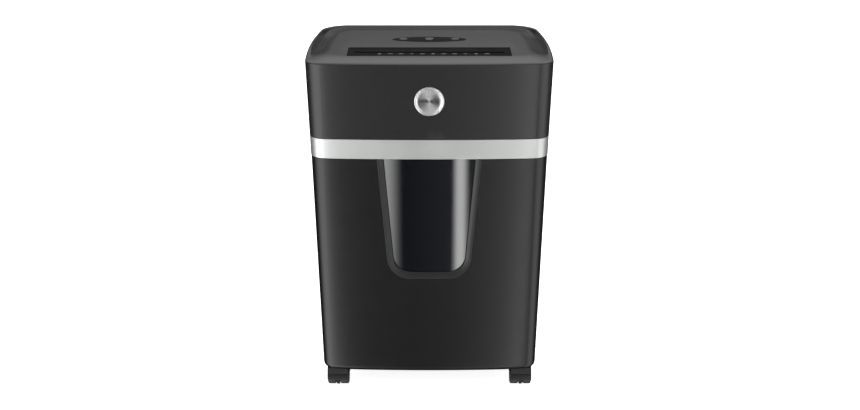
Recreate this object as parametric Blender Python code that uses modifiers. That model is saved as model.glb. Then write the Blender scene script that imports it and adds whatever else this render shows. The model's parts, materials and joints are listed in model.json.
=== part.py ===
"""Paper shredder: a lift-off cutting head on a tapered bin with four twin-wheel casters.

Metres, +Z up. The origin is on the floor, under the middle of the body, and the front faces -Y.
"""

from math import atan, cos, pi, radians, sin, tan

import bmesh
import bpy
from mathutils import Matrix, Vector

# ---- Driving dimensions ----------------------------------------------------------------------
GAP = 0.0003  # clearance between neighbouring solids
REACH = 0.010  # how far a cutting shape runs past the piece it cuts

# Body in plan: a rounded rectangle with a bowed front and sides that narrow to the rear.
HALF_WIDTH = 0.193
DEPTH = 0.265
FRONT_CORNER = 0.024
REAR_CORNER = 0.042
FRONT_BOW = 0.0065
SIDE_BARREL = 0.151
WIDEST_Y = -DEPTH / 2 + 0.065
LEAST_CORNER = 0.006
CORNER_STEPS = 6

# Heights above the floor.
BIN_FLOOR_Z = 0.040
BIN_RIM_Z = 0.4135
HEAD_BASE_Z = 0.4140
BAND_TOP_Z = 0.4460
SEAM_Z = 0.5655
DECK_Z = 0.5720
RIM_TOP_Z = 0.5740

# How far the walls stand in from the seam's outline, because of their draft.
BAND_TOP_INSET = 0.0040
BAND_BASE_INSET = 0.0050
BIN_RIM_INSET = 0.0056
BIN_FLOOR_INSET = 0.0160
WALL = 0.0028
BIN_EDGE_RADIUS = 0.012

# Lower part of the head: a neck inside the silver band, then a spigot in the bin's mouth.
NECK_INSET = BAND_BASE_INSET + 0.0018
NECK_THICKNESS = 0.0024
NECK_BASE_Z = HEAD_BASE_Z + 0.0004
LEDGE_Z = BAND_TOP_Z + 0.0008
LEDGE_INNER_Z = BAND_TOP_Z + 0.0010
LEDGE_END_Z = BAND_TOP_Z + 0.0080
TRAY_INSET = 0.0098
TRAY_WALL = 0.0024
TRAY_TOP_Z = 0.4180
TRAY_UNDER_Z = 0.4150
SPIGOT_Z = HEAD_BASE_Z - 0.0100

# Window in the front of the bin.
BEZEL_HALF_TOP = 0.0825
BEZEL_BASE_Z = 0.2100
BEZEL_CORNER = 0.038
PANE_HALF_TOP = 0.0718
PANE_BASE_Z = 0.2230
PANE_CORNER = 0.028
WINDOW_SIDE_SLOPE = radians(4.9)
BEZEL_DEPTH = 0.0100
BEZEL_LIP = 0.0015
PANE_SET_BACK = 0.0068
PANE_BULGE = 0.0062
PANE_THICKNESS = 0.0025

# Deck: how far in from the front face its lip rises, and the round on its edge.
LIP_START = -0.012
LIP_END = 0.036
LIP_ROUND = 0.0012

# Feed: the opening in the deck, measured back from the front face.
FEED_FRONT_Y = -DEPTH / 2 + 0.036
FEED_BACK_Y = -DEPTH / 2 + 0.096
FEED_HALF_WIDTH = 0.1275
FEED_INNER_HALF = 0.1190
SLOT_Y = FEED_FRONT_Y + 0.040
SLOT_HALF_WIDTH = 0.1165
SLOT_HALF_DEPTH = 0.0035
SLOT_LIP_Z = DECK_Z - 0.0050
THROAT_SKIRT_Z = DECK_Z - 0.0110
THROAT_WAIST_Z = DECK_Z - 0.0290
THROAT_BASE_Z = 0.5070
THROAT_TIP_HALF = 0.0066

# Controls.
PANEL_Y = -DEPTH / 2 + 0.1555
PANEL_HALF_WIDTH = 0.0595
PANEL_HALF_DEPTH = 0.0185
BUTTON_RADIUS = 0.0068
BUTTON_FLANGE_RADIUS = 0.0082
BUTTON_SPACING = 0.0420

# Badge.
BADGE_RADIUS = 0.0230
BADGE_THICKNESS = 0.0008
BADGE_Z = SEAM_Z - 0.0570

# Cutters: two shafts of interleaved discs, side by side under the slot.
SHAFT_SPACING = 0.038
SHAFT_Z = 0.4800
SHAFT_RADIUS = 0.0060
CORE_RADIUS = 0.0105
DISC_RADIUS = 0.0220
DISC_PITCH = 0.0132
DISC_WIDTH = 0.0058
DISC_COUNT = 17
CUTTER_HALF_LENGTH = 0.1170
TOOTH_CLEARANCE = 0.0012
COMB_THICKNESS = 0.0020
SIDE_PLATE_X = 0.1210
PLATE_THICKNESS = 0.0025

# Gears: module times tooth count gives each pitch diameter.
SYNC_TEETH = 12
SYNC_RADIUS = SHAFT_SPACING / 2
GEAR_MODULE = 0.0020
FINAL_TEETH = 34
IDLER_SMALL_TEETH = 9
IDLER_BIG_TEETH = 30
PINION_TEETH = 6
IDLER_ANGLE = radians(15)
MOTOR_ANGLE = radians(-20)
SYNC_X = 0.1300
FINAL_X = 0.1410
IDLER_BIG_X = 0.1510
GEAR_WIDTH = 0.0070

BUSH_RADIUS = 0.0090
TIE_ROD_RADIUS = 0.0040
TIE_ROD_REACH = 0.0490
TIE_ROD_Z = 0.5120
PLATE_FRONT_Y = SLOT_Y - 0.0540
PLATE_BACK_Y = 0.0700
FOOT_BACK_Y = SLOT_Y + 0.0560
FOOT_TOP_Z = 0.4300
ROTOR_PASSAGE_RADIUS = 0.0080
PLATE_BASE_Z = 0.4190
PLATE_TOP_Z = 0.5250
DISCHARGE_HALF_X = 0.1175
DISCHARGE_HALF_Y = 0.0360
PIN_RADIUS = 0.0030
LEVER_AXIS = (SLOT_Y + 0.0140, 0.5470)  # back and up
LEVER_HUB_RADIUS = 0.0030
LEVER_ARM_HALF = 0.0010
NOTCH_HALF_WIDTH = 0.0065
INTERLOCK_CENTRE = (-0.145, 0.030)  # across and back
PLUNGER_RADIUS = 0.0030

MOTOR_RADIUS = 0.0310
MOTOR_EDGE = 0.0030
MOTOR_CAP = 0.0040
MOTOR_CAVITY_RADIUS = 0.0200
MOTOR_BORE_RADIUS = 0.0045
MOTOR_LEFT_X = 0.0200
MOTOR_RIGHT_X = 0.1120
ROTOR_RADIUS = 0.0180
ROTOR_SHAFT_RADIUS = 0.0036
FAN_HUB_RADIUS = 0.0080
FAN_BLADES = 7
FAN_PITCH = radians(25)
BRACKET_LEFT_X = 0.0640
BRACKET_RIGHT_X = 0.0700
BRACKET_HALF_Y = 0.0380

# Circuit board, its transformer and the interlock switch, on the floor of the head.
BOARD_LOW = (-0.1080, 0.0200, 0.4300)
BOARD_HIGH = (-0.0180, 0.1000, 0.4316)
TRANSFORMER_LOW = (-0.0980, 0.0580, 0.4320)
TRANSFORMER_HIGH = (-0.0600, 0.0900, 0.4600)
SWITCH_BASE_Z = 0.4186
SWITCH_TOP_Z = 0.4340
PLUNGER_BASE_Z = 0.4045
PLUNGER_TOP_Z = 0.4270
PLUNGER_WAY_TOP_Z = 0.4300

# On the back of the head: across and up.
ROCKER_CENTRE = (0.070, 0.485)
ROCKER_WIDTH = 0.0240
ROCKER_HALF_HEIGHT = 0.0092
ROCKER_SET_BACK = 0.0020
GLAND_CENTRE = (0.115, 0.472)
GLAND_HOLE_RADIUS = 0.0070

# Casters.
CASTERS = {"fl": (-0.154, -0.083), "fr": (0.154, -0.083), "rl": (-0.148, 0.084), "rr": (0.148, 0.084)}
WHEEL_RADIUS = 0.0176
WHEEL_WIDTH = 0.0145
CASTER_TRAIL = 0.0120
HOOD_RADIUS = 0.0197
HOOD_HALF_WIDTH = 0.0182
WEB_HALF_WIDTH = 0.0028
STEM_RADIUS = 0.0050
STEM_BASE_Z = 0.0340
STEM_TOP_Z = 0.0580
SOCKET_TOP_Z = 0.0600
BOSS_RADIUS = 0.0120
BOSS_TOP_Z = 0.0640
WHEEL_CLEARANCE = 0.0007
WHEEL_EDGE = 0.0025
WHEEL_SPACING = 0.0006
HOOD_OPEN_Z = WHEEL_RADIUS - 0.0045
BROW_HALF_WIDTH = 0.0165
BROW_REACH = 0.0100
BROW_BASE_Z = 0.0257
BROW_TOP_Z = 0.0376
AXLE_RADIUS = 0.0030

FRONT_SHAFT_Y = SLOT_Y - SHAFT_SPACING / 2
REAR_SHAFT_Y = SLOT_Y + SHAFT_SPACING / 2
FINAL_RADIUS = GEAR_MODULE * FINAL_TEETH / 2
IDLER_SMALL_RADIUS = GEAR_MODULE * IDLER_SMALL_TEETH / 2
IDLER_BIG_RADIUS = GEAR_MODULE * IDLER_BIG_TEETH / 2
PINION_RADIUS = GEAR_MODULE * PINION_TEETH / 2
IDLER_REACH = FINAL_RADIUS + IDLER_SMALL_RADIUS
IDLER_Y = REAR_SHAFT_Y + IDLER_REACH * cos(IDLER_ANGLE)
IDLER_Z = SHAFT_Z + IDLER_REACH * sin(IDLER_ANGLE)
MOTOR_REACH = IDLER_BIG_RADIUS + PINION_RADIUS
MOTOR_Y = IDLER_Y + MOTOR_REACH * cos(MOTOR_ANGLE)
MOTOR_Z = IDLER_Z + MOTOR_REACH * sin(MOTOR_ANGLE)

# A piece made along its own Z lies along X after this turn: its X, Y, Z become Y, Z, X.
ALONG_X = Matrix(((0, 0, 1), (1, 0, 0), (0, 1, 0)))


# ---- Scene and materials ---------------------------------------------------------------------
def clear_scene():
    for old in list(bpy.data.objects):
        bpy.data.objects.remove(old, do_unlink=True)


def new_collection(name):
    collection = bpy.data.collections.new(name)
    bpy.context.scene.collection.children.link(collection)
    return collection


def material(name, colour, roughness, metallic=0.0):
    made = bpy.data.materials.new(name)
    made.use_nodes = True
    shader = made.node_tree.nodes["Principled BSDF"]
    shader.inputs["Base Color"].default_value = (*colour, 1.0)
    shader.inputs["Roughness"].default_value = roughness
    shader.inputs["Metallic"].default_value = metallic
    return made


clear_scene()
PARTS = new_collection("paper_shredder")
CUTTERS = new_collection("cutters")

BLACK_PLASTIC = material("black_plastic", (0.030, 0.030, 0.032), 0.45)
DECK_PLASTIC = material("deck_plastic", (0.085, 0.085, 0.082), 0.55)
GLOSS_BLACK = material("gloss_black", (0.012, 0.012, 0.013), 0.20)
SATIN_SILVER = material("satin_silver", (0.560, 0.575, 0.565), 0.38, 0.7)
TINTED_PANE = material("tinted_pane", (0.010, 0.012, 0.016), 0.08)
STEEL = material("steel", (0.450, 0.455, 0.460), 0.35, 1.0)
GEAR_NYLON = material("gear_nylon", (0.720, 0.700, 0.640), 0.50)
MOTOR_PAINT = material("motor_paint", (0.120, 0.120, 0.125), 0.45, 0.8)
BOARD_GREEN = material("board_green", (0.020, 0.130, 0.060), 0.50)
RUBBER = material("rubber", (0.020, 0.020, 0.020), 0.80)


# ---- Modelling helpers -----------------------------------------------------------------------
def place(obj, paint, location=(0, 0, 0), turn=None, parent=None):
    """Put a finished object in the parts collection."""
    obj.data.materials.clear()
    obj.data.materials.append(paint)
    if turn is not None:
        obj.rotation_euler = turn.to_euler()
    obj.location = Vector(location)
    if parent is not None:
        obj.parent = parent
        obj.location = Vector(location) - parent.location
    PARTS.objects.link(obj)
    return obj


def pivot(name, location):
    """Empty that marks a moving body's axis; the body's pieces are its children."""
    empty = bpy.data.objects.new(name, None)
    empty.location = location
    empty.empty_display_size = 0.01
    PARTS.objects.link(empty)
    return empty


def object_from_bmesh(name, bm):
    bmesh.ops.recalc_face_normals(bm, faces=bm.faces)
    mesh = bpy.data.meshes.new(name)
    bm.to_mesh(mesh)
    bm.free()
    return bpy.data.objects.new(name, mesh)


def shade_round(obj, angle=35):
    obj.data.shade_smooth()
    obj.data.set_sharp_from_angle(angle=radians(angle))


def box(name, low, high):
    """Box between two opposite corners."""
    bm = bmesh.new()
    size = Vector(high) - Vector(low)
    middle = (Vector(high) + Vector(low)) / 2
    bmesh.ops.create_cube(bm, size=1.0, matrix=Matrix.Translation(middle) @ Matrix.Diagonal((*size, 1.0)))
    return object_from_bmesh(name, bm)


def cylinder(name, radius, low, high, centre=(0.0, 0.0), axis="Z", steps=16):
    """Cylinder from low to high along an axis; centre is its place across the axis."""
    bm = bmesh.new()
    bmesh.ops.create_cone(
        bm, cap_ends=True, segments=steps, radius1=radius, radius2=radius, depth=high - low,
        matrix=Matrix.Translation((0, 0, (low + high) / 2)),
    )
    if axis == "X":
        bmesh.ops.transform(bm, matrix=ALONG_X.to_4x4(), verts=bm.verts)
        shift = Vector((0, centre[0], centre[1]))
    elif axis == "Y":
        bmesh.ops.transform(bm, matrix=Matrix.Rotation(-pi / 2, 4, "X"), verts=bm.verts)
        shift = Vector((centre[0], 0, centre[1]))
    else:
        shift = Vector((centre[0], centre[1], 0))
    bmesh.ops.translate(bm, vec=shift, verts=bm.verts)
    obj = object_from_bmesh(name, bm)
    shade_round(obj)
    return obj


def turned(name, profile, steps=16, closed=False):
    """Turned piece: a profile of (radius, height) points, from the top down its outer side."""
    mesh = bpy.data.meshes.new(name)
    edges = [(i, i + 1) for i in range(len(profile) - 1)]
    if closed:
        edges.append((len(profile) - 1, 0))
    mesh.from_pydata([(r, 0, z) for r, z in profile], edges, [])
    obj = bpy.data.objects.new(name, mesh)
    screw = obj.modifiers.new("turn", "SCREW")
    screw.steps = steps
    screw.render_steps = steps
    screw.use_merge_vertices = True
    screw.merge_threshold = 0.00001
    return obj


def loft(name, rings, capped=True):
    """Solid through rings of equal point counts, closed by end caps or back on its first ring."""
    bm = bmesh.new()
    loops = [[bm.verts.new(point) for point in ring] for ring in rings]
    pairs = list(zip(loops, loops[1:]))
    if not capped:
        pairs.append((loops[-1], loops[0]))
    count = len(rings[0])
    for lower, upper in pairs:
        for i in range(count):
            j = (i + 1) % count
            bm.faces.new((lower[i], lower[j], upper[j], upper[i]))
    if capped:
        bm.faces.new(loops[0])
        bm.faces.new(loops[-1])
    return object_from_bmesh(name, bm)


def extruded(name, outline, thickness):
    """Plate from a flat outline of (x, y) points, centred on its own Z = 0."""
    curve = bpy.data.curves.new(name, "CURVE")
    curve.dimensions = "2D"
    curve.fill_mode = "BOTH"
    curve.extrude = thickness / 2
    spline = curve.splines.new("POLY")
    spline.points.add(len(outline) - 1)
    for point, (x, y) in zip(spline.points, outline):
        point.co = (x, y, 0, 1)
    spline.use_cyclic_u = True
    holder = bpy.data.objects.new(name + "_curve", curve)
    bpy.context.scene.collection.objects.link(holder)
    bpy.context.view_layer.update()
    graph = bpy.context.evaluated_depsgraph_get()
    mesh = bpy.data.meshes.new_from_object(holder.evaluated_get(graph))
    bpy.data.objects.remove(holder, do_unlink=True)
    bm = bmesh.new()
    bm.from_mesh(mesh)
    bmesh.ops.remove_doubles(bm, verts=bm.verts, dist=0.000001)
    return object_from_bmesh(name, bm)


def boolean(target, tool, operation="DIFFERENCE"):
    """Cut a tool from a piece, or join it on; the tool stays in the cutters collection."""
    tool.name = target.name + "_" + tool.name
    tool.hide_render = True
    tool.display_type = "WIRE"
    CUTTERS.objects.link(tool)
    modifier = target.modifiers.new(tool.name, "BOOLEAN")
    modifier.operation = operation
    modifier.solver = "EXACT"
    modifier.object = tool


# ---- Outlines --------------------------------------------------------------------------------
def spread(start, end, count):
    """Values strictly between two ends, evenly spaced."""
    return [start + (end - start) * (i + 1) / (count + 1) for i in range(count)]


def plan_outline(inset, z):
    """Ring round the body at height z, standing in from the seam's outline by inset."""
    half = HALF_WIDTH - inset
    front = -DEPTH / 2 + inset
    back = DEPTH / 2 - inset
    near = max(FRONT_CORNER - inset / 2, LEAST_CORNER)
    far = max(REAR_CORNER - inset / 2, LEAST_CORNER)
    corners = (
        (half - near, front + near, near, -90),
        (half - far, back - far, far, 0),
        (far - half, back - far, far, 90),
        (near - half, front + near, near, 180),
    )
    flat = []
    for centre_x, centre_y, radius, start in corners:
        for step in range(CORNER_STEPS + 1):
            angle = radians(start + 90 * step / CORNER_STEPS)
            flat.append((centre_x + radius * cos(angle), centre_y + radius * sin(angle)))
        if start == -90:
            flat += [(half, y) for y in spread(front + near, back - far, 4)]
        elif start == 0:
            flat += [(x, back) for x in spread(half - far, far - half, 3)]
        elif start == 90:
            flat += [(-half, y) for y in spread(back - far, front + near, 4)]
        else:
            flat += [(x, front) for x in spread(near - half, half - near, 9)]
    ring = []
    for x, y in flat:
        bow = FRONT_BOW * (x / half) ** 2 * (back - y) / (back - front)
        narrowing = 1 - SIDE_BARREL * ((y - WIDEST_Y) / DEPTH) ** 2
        ring.append(Vector((x * narrowing, y + bow, z)))
    return ring


def bin_inset(z):
    """Draft inset of the bin's outer wall at height z."""
    share = (BIN_RIM_Z - z) / (BIN_RIM_Z - BIN_FLOOR_Z)
    return BIN_RIM_INSET + (BIN_FLOOR_INSET - BIN_RIM_INSET) * share


def bin_front_y(x, z):
    """The bin's outer front surface at a point across and up."""
    inset = bin_inset(z)
    return -DEPTH / 2 + inset + FRONT_BOW * (x / (HALF_WIDTH - inset)) ** 2


def head_inset(z):
    """Draft inset of the head's outer wall at height z."""
    return BAND_TOP_INSET * (SEAM_Z - z) / (SEAM_Z - BAND_TOP_Z)


def rear_wall_y(z):
    """Outer face of the head's back wall at height z."""
    return DEPTH / 2 - head_inset(z)


def window_outline(half_top, base_z, corner, top_z=BIN_RIM_Z):
    """U-shaped (x, z) path: down the left side, round the bottom and up the right side."""
    centre_z = base_z + corner
    side_x = half_top - (BIN_RIM_Z - centre_z) * tan(WINDOW_SIDE_SLOPE)
    centre_x = side_x - corner / cos(WINDOW_SIDE_SLOPE)
    top_x = half_top + (top_z - BIN_RIM_Z) * tan(WINDOW_SIDE_SLOPE)
    right = []
    steps = 7
    for step in range(steps + 1):
        angle = -pi / 2 + (pi / 2 - WINDOW_SIDE_SLOPE) * step / steps
        right.append((centre_x + corner * cos(angle), centre_z + corner * sin(angle)))
    last_x, last_z = right[-1]
    right += [(last_x + (top_x - last_x) * s, last_z + (top_z - last_z) * s) for s in (0.5, 1.0)]
    left = [(-x, z) for x, z in reversed(right)]
    return left + [(0.0, base_z)] + right


def gear_outline(teeth, pitch_radius, phase, height):
    """Gear outline with a tooth centred at the phase angle; teeth are slim for running clearance."""
    pitch = 2 * pi / teeth
    outline = []
    for tooth in range(teeth):
        middle = phase + tooth * pitch
        for offset, radius in (
            (-0.23, pitch_radius - height * 1.4),
            (-0.11, pitch_radius + height),
            (0.11, pitch_radius + height),
            (0.23, pitch_radius - height * 1.4),
        ):
            angle = middle + offset * pitch
            outline.append((radius * cos(angle), radius * sin(angle)))
    return outline


# ---- Bin -------------------------------------------------------------------------------------
def make_bin():
    steps = 4
    outer = []
    for step in range(steps + 1):
        angle = pi / 2 * step / steps
        z = BIN_FLOOR_Z + BIN_EDGE_RADIUS * (1 - cos(angle))
        outer.append(plan_outline(bin_inset(z) + BIN_EDGE_RADIUS * (1 - sin(angle)), z))
    outer.append(plan_outline(BIN_RIM_INSET, BIN_RIM_Z))
    inner = [plan_outline(BIN_RIM_INSET + WALL, BIN_RIM_Z)]
    for step in range(steps, -1, -1):
        angle = pi / 2 * step / steps
        z = BIN_FLOOR_Z + WALL + BIN_EDGE_RADIUS * (1 - cos(angle))
        inner.append(plan_outline(bin_inset(z) + WALL + BIN_EDGE_RADIUS * (1 - sin(angle)), z))
    bucket = loft("bin_bucket", outer + inner)
    shade_round(bucket)
    front = -DEPTH / 2
    opening = window_outline(
        BEZEL_HALF_TOP + GAP, BEZEL_BASE_Z - GAP, BEZEL_CORNER + GAP, BIN_RIM_Z + REACH
    )
    rings = [[Vector((x, y, z)) for x, z in opening] for y in (front - REACH, front + 3 * REACH)]
    boolean(bucket, loft("window", rings))
    for name, (x, y) in CASTERS.items():
        boss = cylinder("boss_" + name, BOSS_RADIUS, BIN_FLOOR_Z + WALL / 2, BOSS_TOP_Z, (x, y))
        boolean(bucket, boss, "UNION")
        socket = cylinder("socket_" + name, STEM_RADIUS + GAP, BIN_FLOOR_Z - REACH, SOCKET_TOP_Z, (x, y))
        boolean(bucket, socket)
    place(bucket, BLACK_PLASTIC)


def make_bezel():
    """U-shaped frame: its face slopes from the bin's surface down to the pane."""
    outer = window_outline(BEZEL_HALF_TOP, BEZEL_BASE_Z, BEZEL_CORNER)
    inner = window_outline(PANE_HALF_TOP + GAP, PANE_BASE_Z - GAP, PANE_CORNER + GAP)
    sections = []
    for (outer_x, outer_z), (inner_x, inner_z) in zip(outer, inner):
        face_y = bin_front_y(outer_x, outer_z)
        seat_y = bin_front_y(inner_x, inner_z)
        sections.append([
            Vector((outer_x, face_y, outer_z)),
            Vector((inner_x, seat_y + PANE_SET_BACK - BEZEL_LIP, inner_z)),
            Vector((inner_x, seat_y + BEZEL_DEPTH, inner_z)),
            Vector((outer_x, face_y + BEZEL_DEPTH, outer_z)),
        ])
    bezel = loft("window_bezel", sections)
    shade_round(bezel)
    place(bezel, GLOSS_BLACK)


def make_pane():
    """Pane that bulges forward between its two straight sides."""
    columns = [PANE_HALF_TOP * (-1 + 2 * i / 12) for i in range(13)]

    def section(z):
        front = []
        for x in columns:
            bulge = PANE_BULGE * (1 - (x / PANE_HALF_TOP) ** 2)
            front.append(Vector((x, bin_front_y(0, z) + PANE_SET_BACK - bulge, z)))
        back = [Vector((p.x, p.y + PANE_THICKNESS, z)) for p in reversed(front)]
        return front + back

    slab = loft("window_pane", [section(PANE_BASE_Z - REACH), section(BIN_RIM_Z)])
    shade_round(slab)
    front = -DEPTH / 2
    outline = window_outline(PANE_HALF_TOP, PANE_BASE_Z, PANE_CORNER, BIN_RIM_Z + REACH)
    rings = [[Vector((x, y, z)) for x, z in outline] for y in (front - 2 * REACH, front + 4 * REACH)]
    boolean(slab, loft("outline", rings), "INTERSECT")
    place(slab, TINTED_PANE)


# ---- Casters ---------------------------------------------------------------------------------
def clear_wheels(hood, name, x, axle):
    """Cut the space of the two wheels, either side of the web."""
    for side in (-1, 1):
        ends = sorted((x + side * WEB_HALF_WIDTH, x + side * (HOOD_HALF_WIDTH + REACH)))
        boolean(hood, cylinder(name, WHEEL_RADIUS + WHEEL_CLEARANCE, *ends, axle, "X", 16))


def make_caster(name, x, y):
    """Twin-wheel caster: the hood swivels on its stem and carries an axle and two wheels."""
    axle_y = y + CASTER_TRAIL
    axle = (axle_y, WHEEL_RADIUS)
    swivel = pivot("caster_" + name + "_swivel_axis", (x, y, 0))
    hood = cylinder(
        "caster_" + name + "_hood", HOOD_RADIUS, x - HOOD_HALF_WIDTH, x + HOOD_HALF_WIDTH, axle, "X", 16
    )
    clear_wheels(hood, "wheel_space", x, axle)
    span = 2 * HOOD_RADIUS
    boolean(hood, box("below", (x - span, axle_y - span, -REACH), (x + span, axle_y + span, HOOD_OPEN_Z)))
    web = cylinder("web", WHEEL_RADIUS - WHEEL_EDGE, x - WEB_HALF_WIDTH, x + WEB_HALF_WIDTH, axle, "X", 16)
    boolean(hood, web, "UNION")
    low = (x - BROW_HALF_WIDTH, y - BROW_REACH, BROW_BASE_Z)
    high = (x + BROW_HALF_WIDTH, axle_y, BROW_TOP_Z)
    boolean(hood, box("brow", low, high), "UNION")
    boolean(hood, cylinder("stem", STEM_RADIUS, STEM_BASE_Z, STEM_TOP_Z, (x, y), steps=12), "UNION")
    clear_wheels(hood, "brow_space", x, axle)
    boolean(hood, cylinder("axle_hole", AXLE_RADIUS + GAP, x - REACH, x + REACH, axle, "X", 12))
    place(hood, BLACK_PLASTIC, parent=swivel)
    half_axle = WEB_HALF_WIDTH + WHEEL_WIDTH
    rod = cylinder("caster_" + name + "_axle", AXLE_RADIUS, x - half_axle, x + half_axle, axle, "X", 12)
    place(rod, STEEL, parent=swivel)
    spin = pivot("caster_" + name + "_wheel_axis", (x, *axle))
    for side, word in ((-1, "left"), (1, "right")):
        half = WHEEL_WIDTH / 2
        profile = [
            (AXLE_RADIUS + GAP, half),
            (WHEEL_RADIUS - WHEEL_EDGE, half),
            (WHEEL_RADIUS, half - WHEEL_EDGE),
            (WHEEL_RADIUS, -half + WHEEL_EDGE),
            (WHEEL_RADIUS - WHEEL_EDGE, -half),
            (AXLE_RADIUS + GAP, -half),
        ]
        wheel = turned("caster_" + name + "_wheel_" + word, profile, 16, closed=True)
        middle = x + side * (WEB_HALF_WIDTH + WHEEL_SPACING + half)
        place(wheel, RUBBER, (middle, *axle), ALONG_X, spin)


# ---- Head: casing ----------------------------------------------------------------------------
def make_head_shell():
    """Casing with a ledge and a neck below it that carries the silver band."""
    top = SEAM_Z - GAP
    shell = loft("head_shell", [
        plan_outline(0.0, top),
        plan_outline(BAND_TOP_INSET, LEDGE_Z),
        plan_outline(NECK_INSET, LEDGE_Z),
        plan_outline(NECK_INSET, NECK_BASE_Z),
        plan_outline(NECK_INSET + NECK_THICKNESS, NECK_BASE_Z),
        plan_outline(NECK_INSET + NECK_THICKNESS, LEDGE_INNER_Z),
        plan_outline(head_inset(LEDGE_END_Z) + WALL, LEDGE_END_Z),
        plan_outline(WALL, top),
    ], capped=False)
    shade_round(shell)
    back = DEPTH / 2
    rocker_x, rocker_z = ROCKER_CENTRE
    half_width = ROCKER_WIDTH / 2 + 0.0020
    half_height = ROCKER_HALF_HEIGHT + 0.0008
    low = (rocker_x - half_width, back - 2 * REACH, rocker_z - half_height)
    high = (rocker_x + half_width, back + REACH, rocker_z + half_height)
    boolean(shell, box("switch_window", low, high))
    hole = cylinder("gland_hole", GLAND_HOLE_RADIUS, back - 2 * REACH, back + REACH, GLAND_CENTRE, "Y")
    boolean(shell, hole)
    place(shell, BLACK_PLASTIC)


def make_band():
    inner = NECK_INSET - GAP
    band = loft("silver_band", [
        plan_outline(BAND_TOP_INSET, BAND_TOP_Z),
        plan_outline(BAND_BASE_INSET, HEAD_BASE_Z + GAP),
        plan_outline(inner, HEAD_BASE_Z + GAP),
        plan_outline(inner, BAND_TOP_Z),
    ], capped=False)
    shade_round(band)
    place(band, SATIN_SILVER)


def smooth_step(value, low, high):
    share = min(max((value - low) / (high - low), 0.0), 1.0)
    return share * share * (3 - 2 * share)


def front_height(inset):
    """Height of the deck along its front: a small round, then a gentle rise."""
    rise = (DECK_Z - SEAM_Z) * smooth_step(inset, LIP_START, LIP_END)
    return SEAM_Z + rise * min(inset / LIP_ROUND, 1.0)


def deck_ring(inset, rim_z, scoop):
    """Ring of the deck's skin: low along the front, up to the rim at the sides and back."""
    front_z = front_height(inset)
    ring = plan_outline(inset, 0.0)
    for point in ring:
        rim_share = smooth_step(point.y, -0.115, -0.020)
        along = smooth_step(point.y, -0.080, -0.030) * (1 - smooth_step(point.y, 0.065, 0.112))
        side_share = smooth_step(abs(point.x), 0.115, 0.140)
        point.z = front_z + (rim_z - front_z) * rim_share - scoop * along * side_share
    return ring


def make_top_cover():
    """Deck with a raised rim round its sides and back, and a hand scoop inside each side."""
    underside = SEAM_Z - 0.0045
    skin = [
        deck_ring(0.0000, SEAM_Z, 0.0),
        deck_ring(0.0006, RIM_TOP_Z - 0.0024, 0.0),
        deck_ring(0.0025, RIM_TOP_Z - 0.0005, 0.0),
        deck_ring(0.0060, RIM_TOP_Z, 0.0),
        deck_ring(0.0105, DECK_Z - 0.0026, 0.0050),
        deck_ring(0.0160, DECK_Z - 0.0020, 0.0042),
        deck_ring(0.0240, DECK_Z - 0.0010, 0.0028),
        deck_ring(0.0370, DECK_Z, 0.0),
    ]
    under = [
        plan_outline(0.0370, DECK_Z - 0.0035),
        plan_outline(0.0280, underside),
        plan_outline(0.0062, underside),
        plan_outline(0.0060, SEAM_Z - 0.0060),
        plan_outline(0.0040, SEAM_Z - 0.0060),
        plan_outline(0.0034, SEAM_Z),
    ]
    cover = loft("top_cover", skin[::-1] + under[::-1])
    shade_round(cover, 30)
    edge = 0.0004
    low = (-FEED_HALF_WIDTH - edge, FEED_FRONT_Y - edge, SEAM_Z - 0.02)
    high = (FEED_HALF_WIDTH + edge, FEED_BACK_Y + edge, RIM_TOP_Z + 0.01)
    boolean(cover, box("feed", low, high))
    hole = loft("panel_hole", [panel_ring(GAP, SEAM_Z - 0.02), panel_ring(GAP, RIM_TOP_Z + 0.01)])
    boolean(cover, hole)
    place(cover, DECK_PLASTIC)


def panel_ring(grow, z):
    """Long oval outline of the control panel at height z, grown by a clearance."""
    ring = []
    steps = 28
    for step in range(steps):
        angle = 2 * pi * (step + 0.5) / steps
        x = (PANEL_HALF_WIDTH + grow) * cos(angle)
        y = (PANEL_HALF_DEPTH + grow) * sin(angle) * (1 - 0.10 * abs(cos(angle)))
        ring.append(Vector((x, PANEL_Y + y, z)))
    return ring


def make_badge():
    badge = cylinder("badge_disc", BADGE_RADIUS, 0.0, BADGE_THICKNESS, steps=32)
    draft = atan(BAND_TOP_INSET / (SEAM_Z - BAND_TOP_Z))
    surface = -DEPTH / 2 + (SEAM_Z - BADGE_Z) * tan(draft)
    face_out = Matrix.Rotation(pi / 2 + draft, 3, "X")
    place(badge, SATIN_SILVER, (0, surface - GAP, BADGE_Z), face_out)


def make_base_tray():
    """Floor of the head, with the spigot that drops into the bin's mouth."""
    tray = loft("base_tray", [
        plan_outline(TRAY_INSET, TRAY_TOP_Z),
        plan_outline(TRAY_INSET, SPIGOT_Z),
        plan_outline(TRAY_INSET + TRAY_WALL, SPIGOT_Z),
        plan_outline(TRAY_INSET + TRAY_WALL, TRAY_UNDER_Z),
    ])
    front = -DEPTH / 2
    low_z = SPIGOT_Z - REACH
    high_z = TRAY_TOP_Z + REACH
    half = BEZEL_HALF_TOP + 0.004
    relief_low = (-half, front, low_z)
    relief_high = (half, front + 3 * REACH, TRAY_UNDER_Z - 0.0002)
    boolean(tray, box("window_relief", relief_low, relief_high))
    discharge_low = (-DISCHARGE_HALF_X, SLOT_Y - DISCHARGE_HALF_Y, low_z)
    discharge_high = (DISCHARGE_HALF_X, SLOT_Y + DISCHARGE_HALF_Y, high_z)
    boolean(tray, box("discharge", discharge_low, discharge_high))
    hole = cylinder("plunger_hole", PLUNGER_RADIUS + GAP, low_z, high_z, INTERLOCK_CENTRE, steps=12)
    boolean(tray, hole)
    place(tray, BLACK_PLASTIC)


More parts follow.
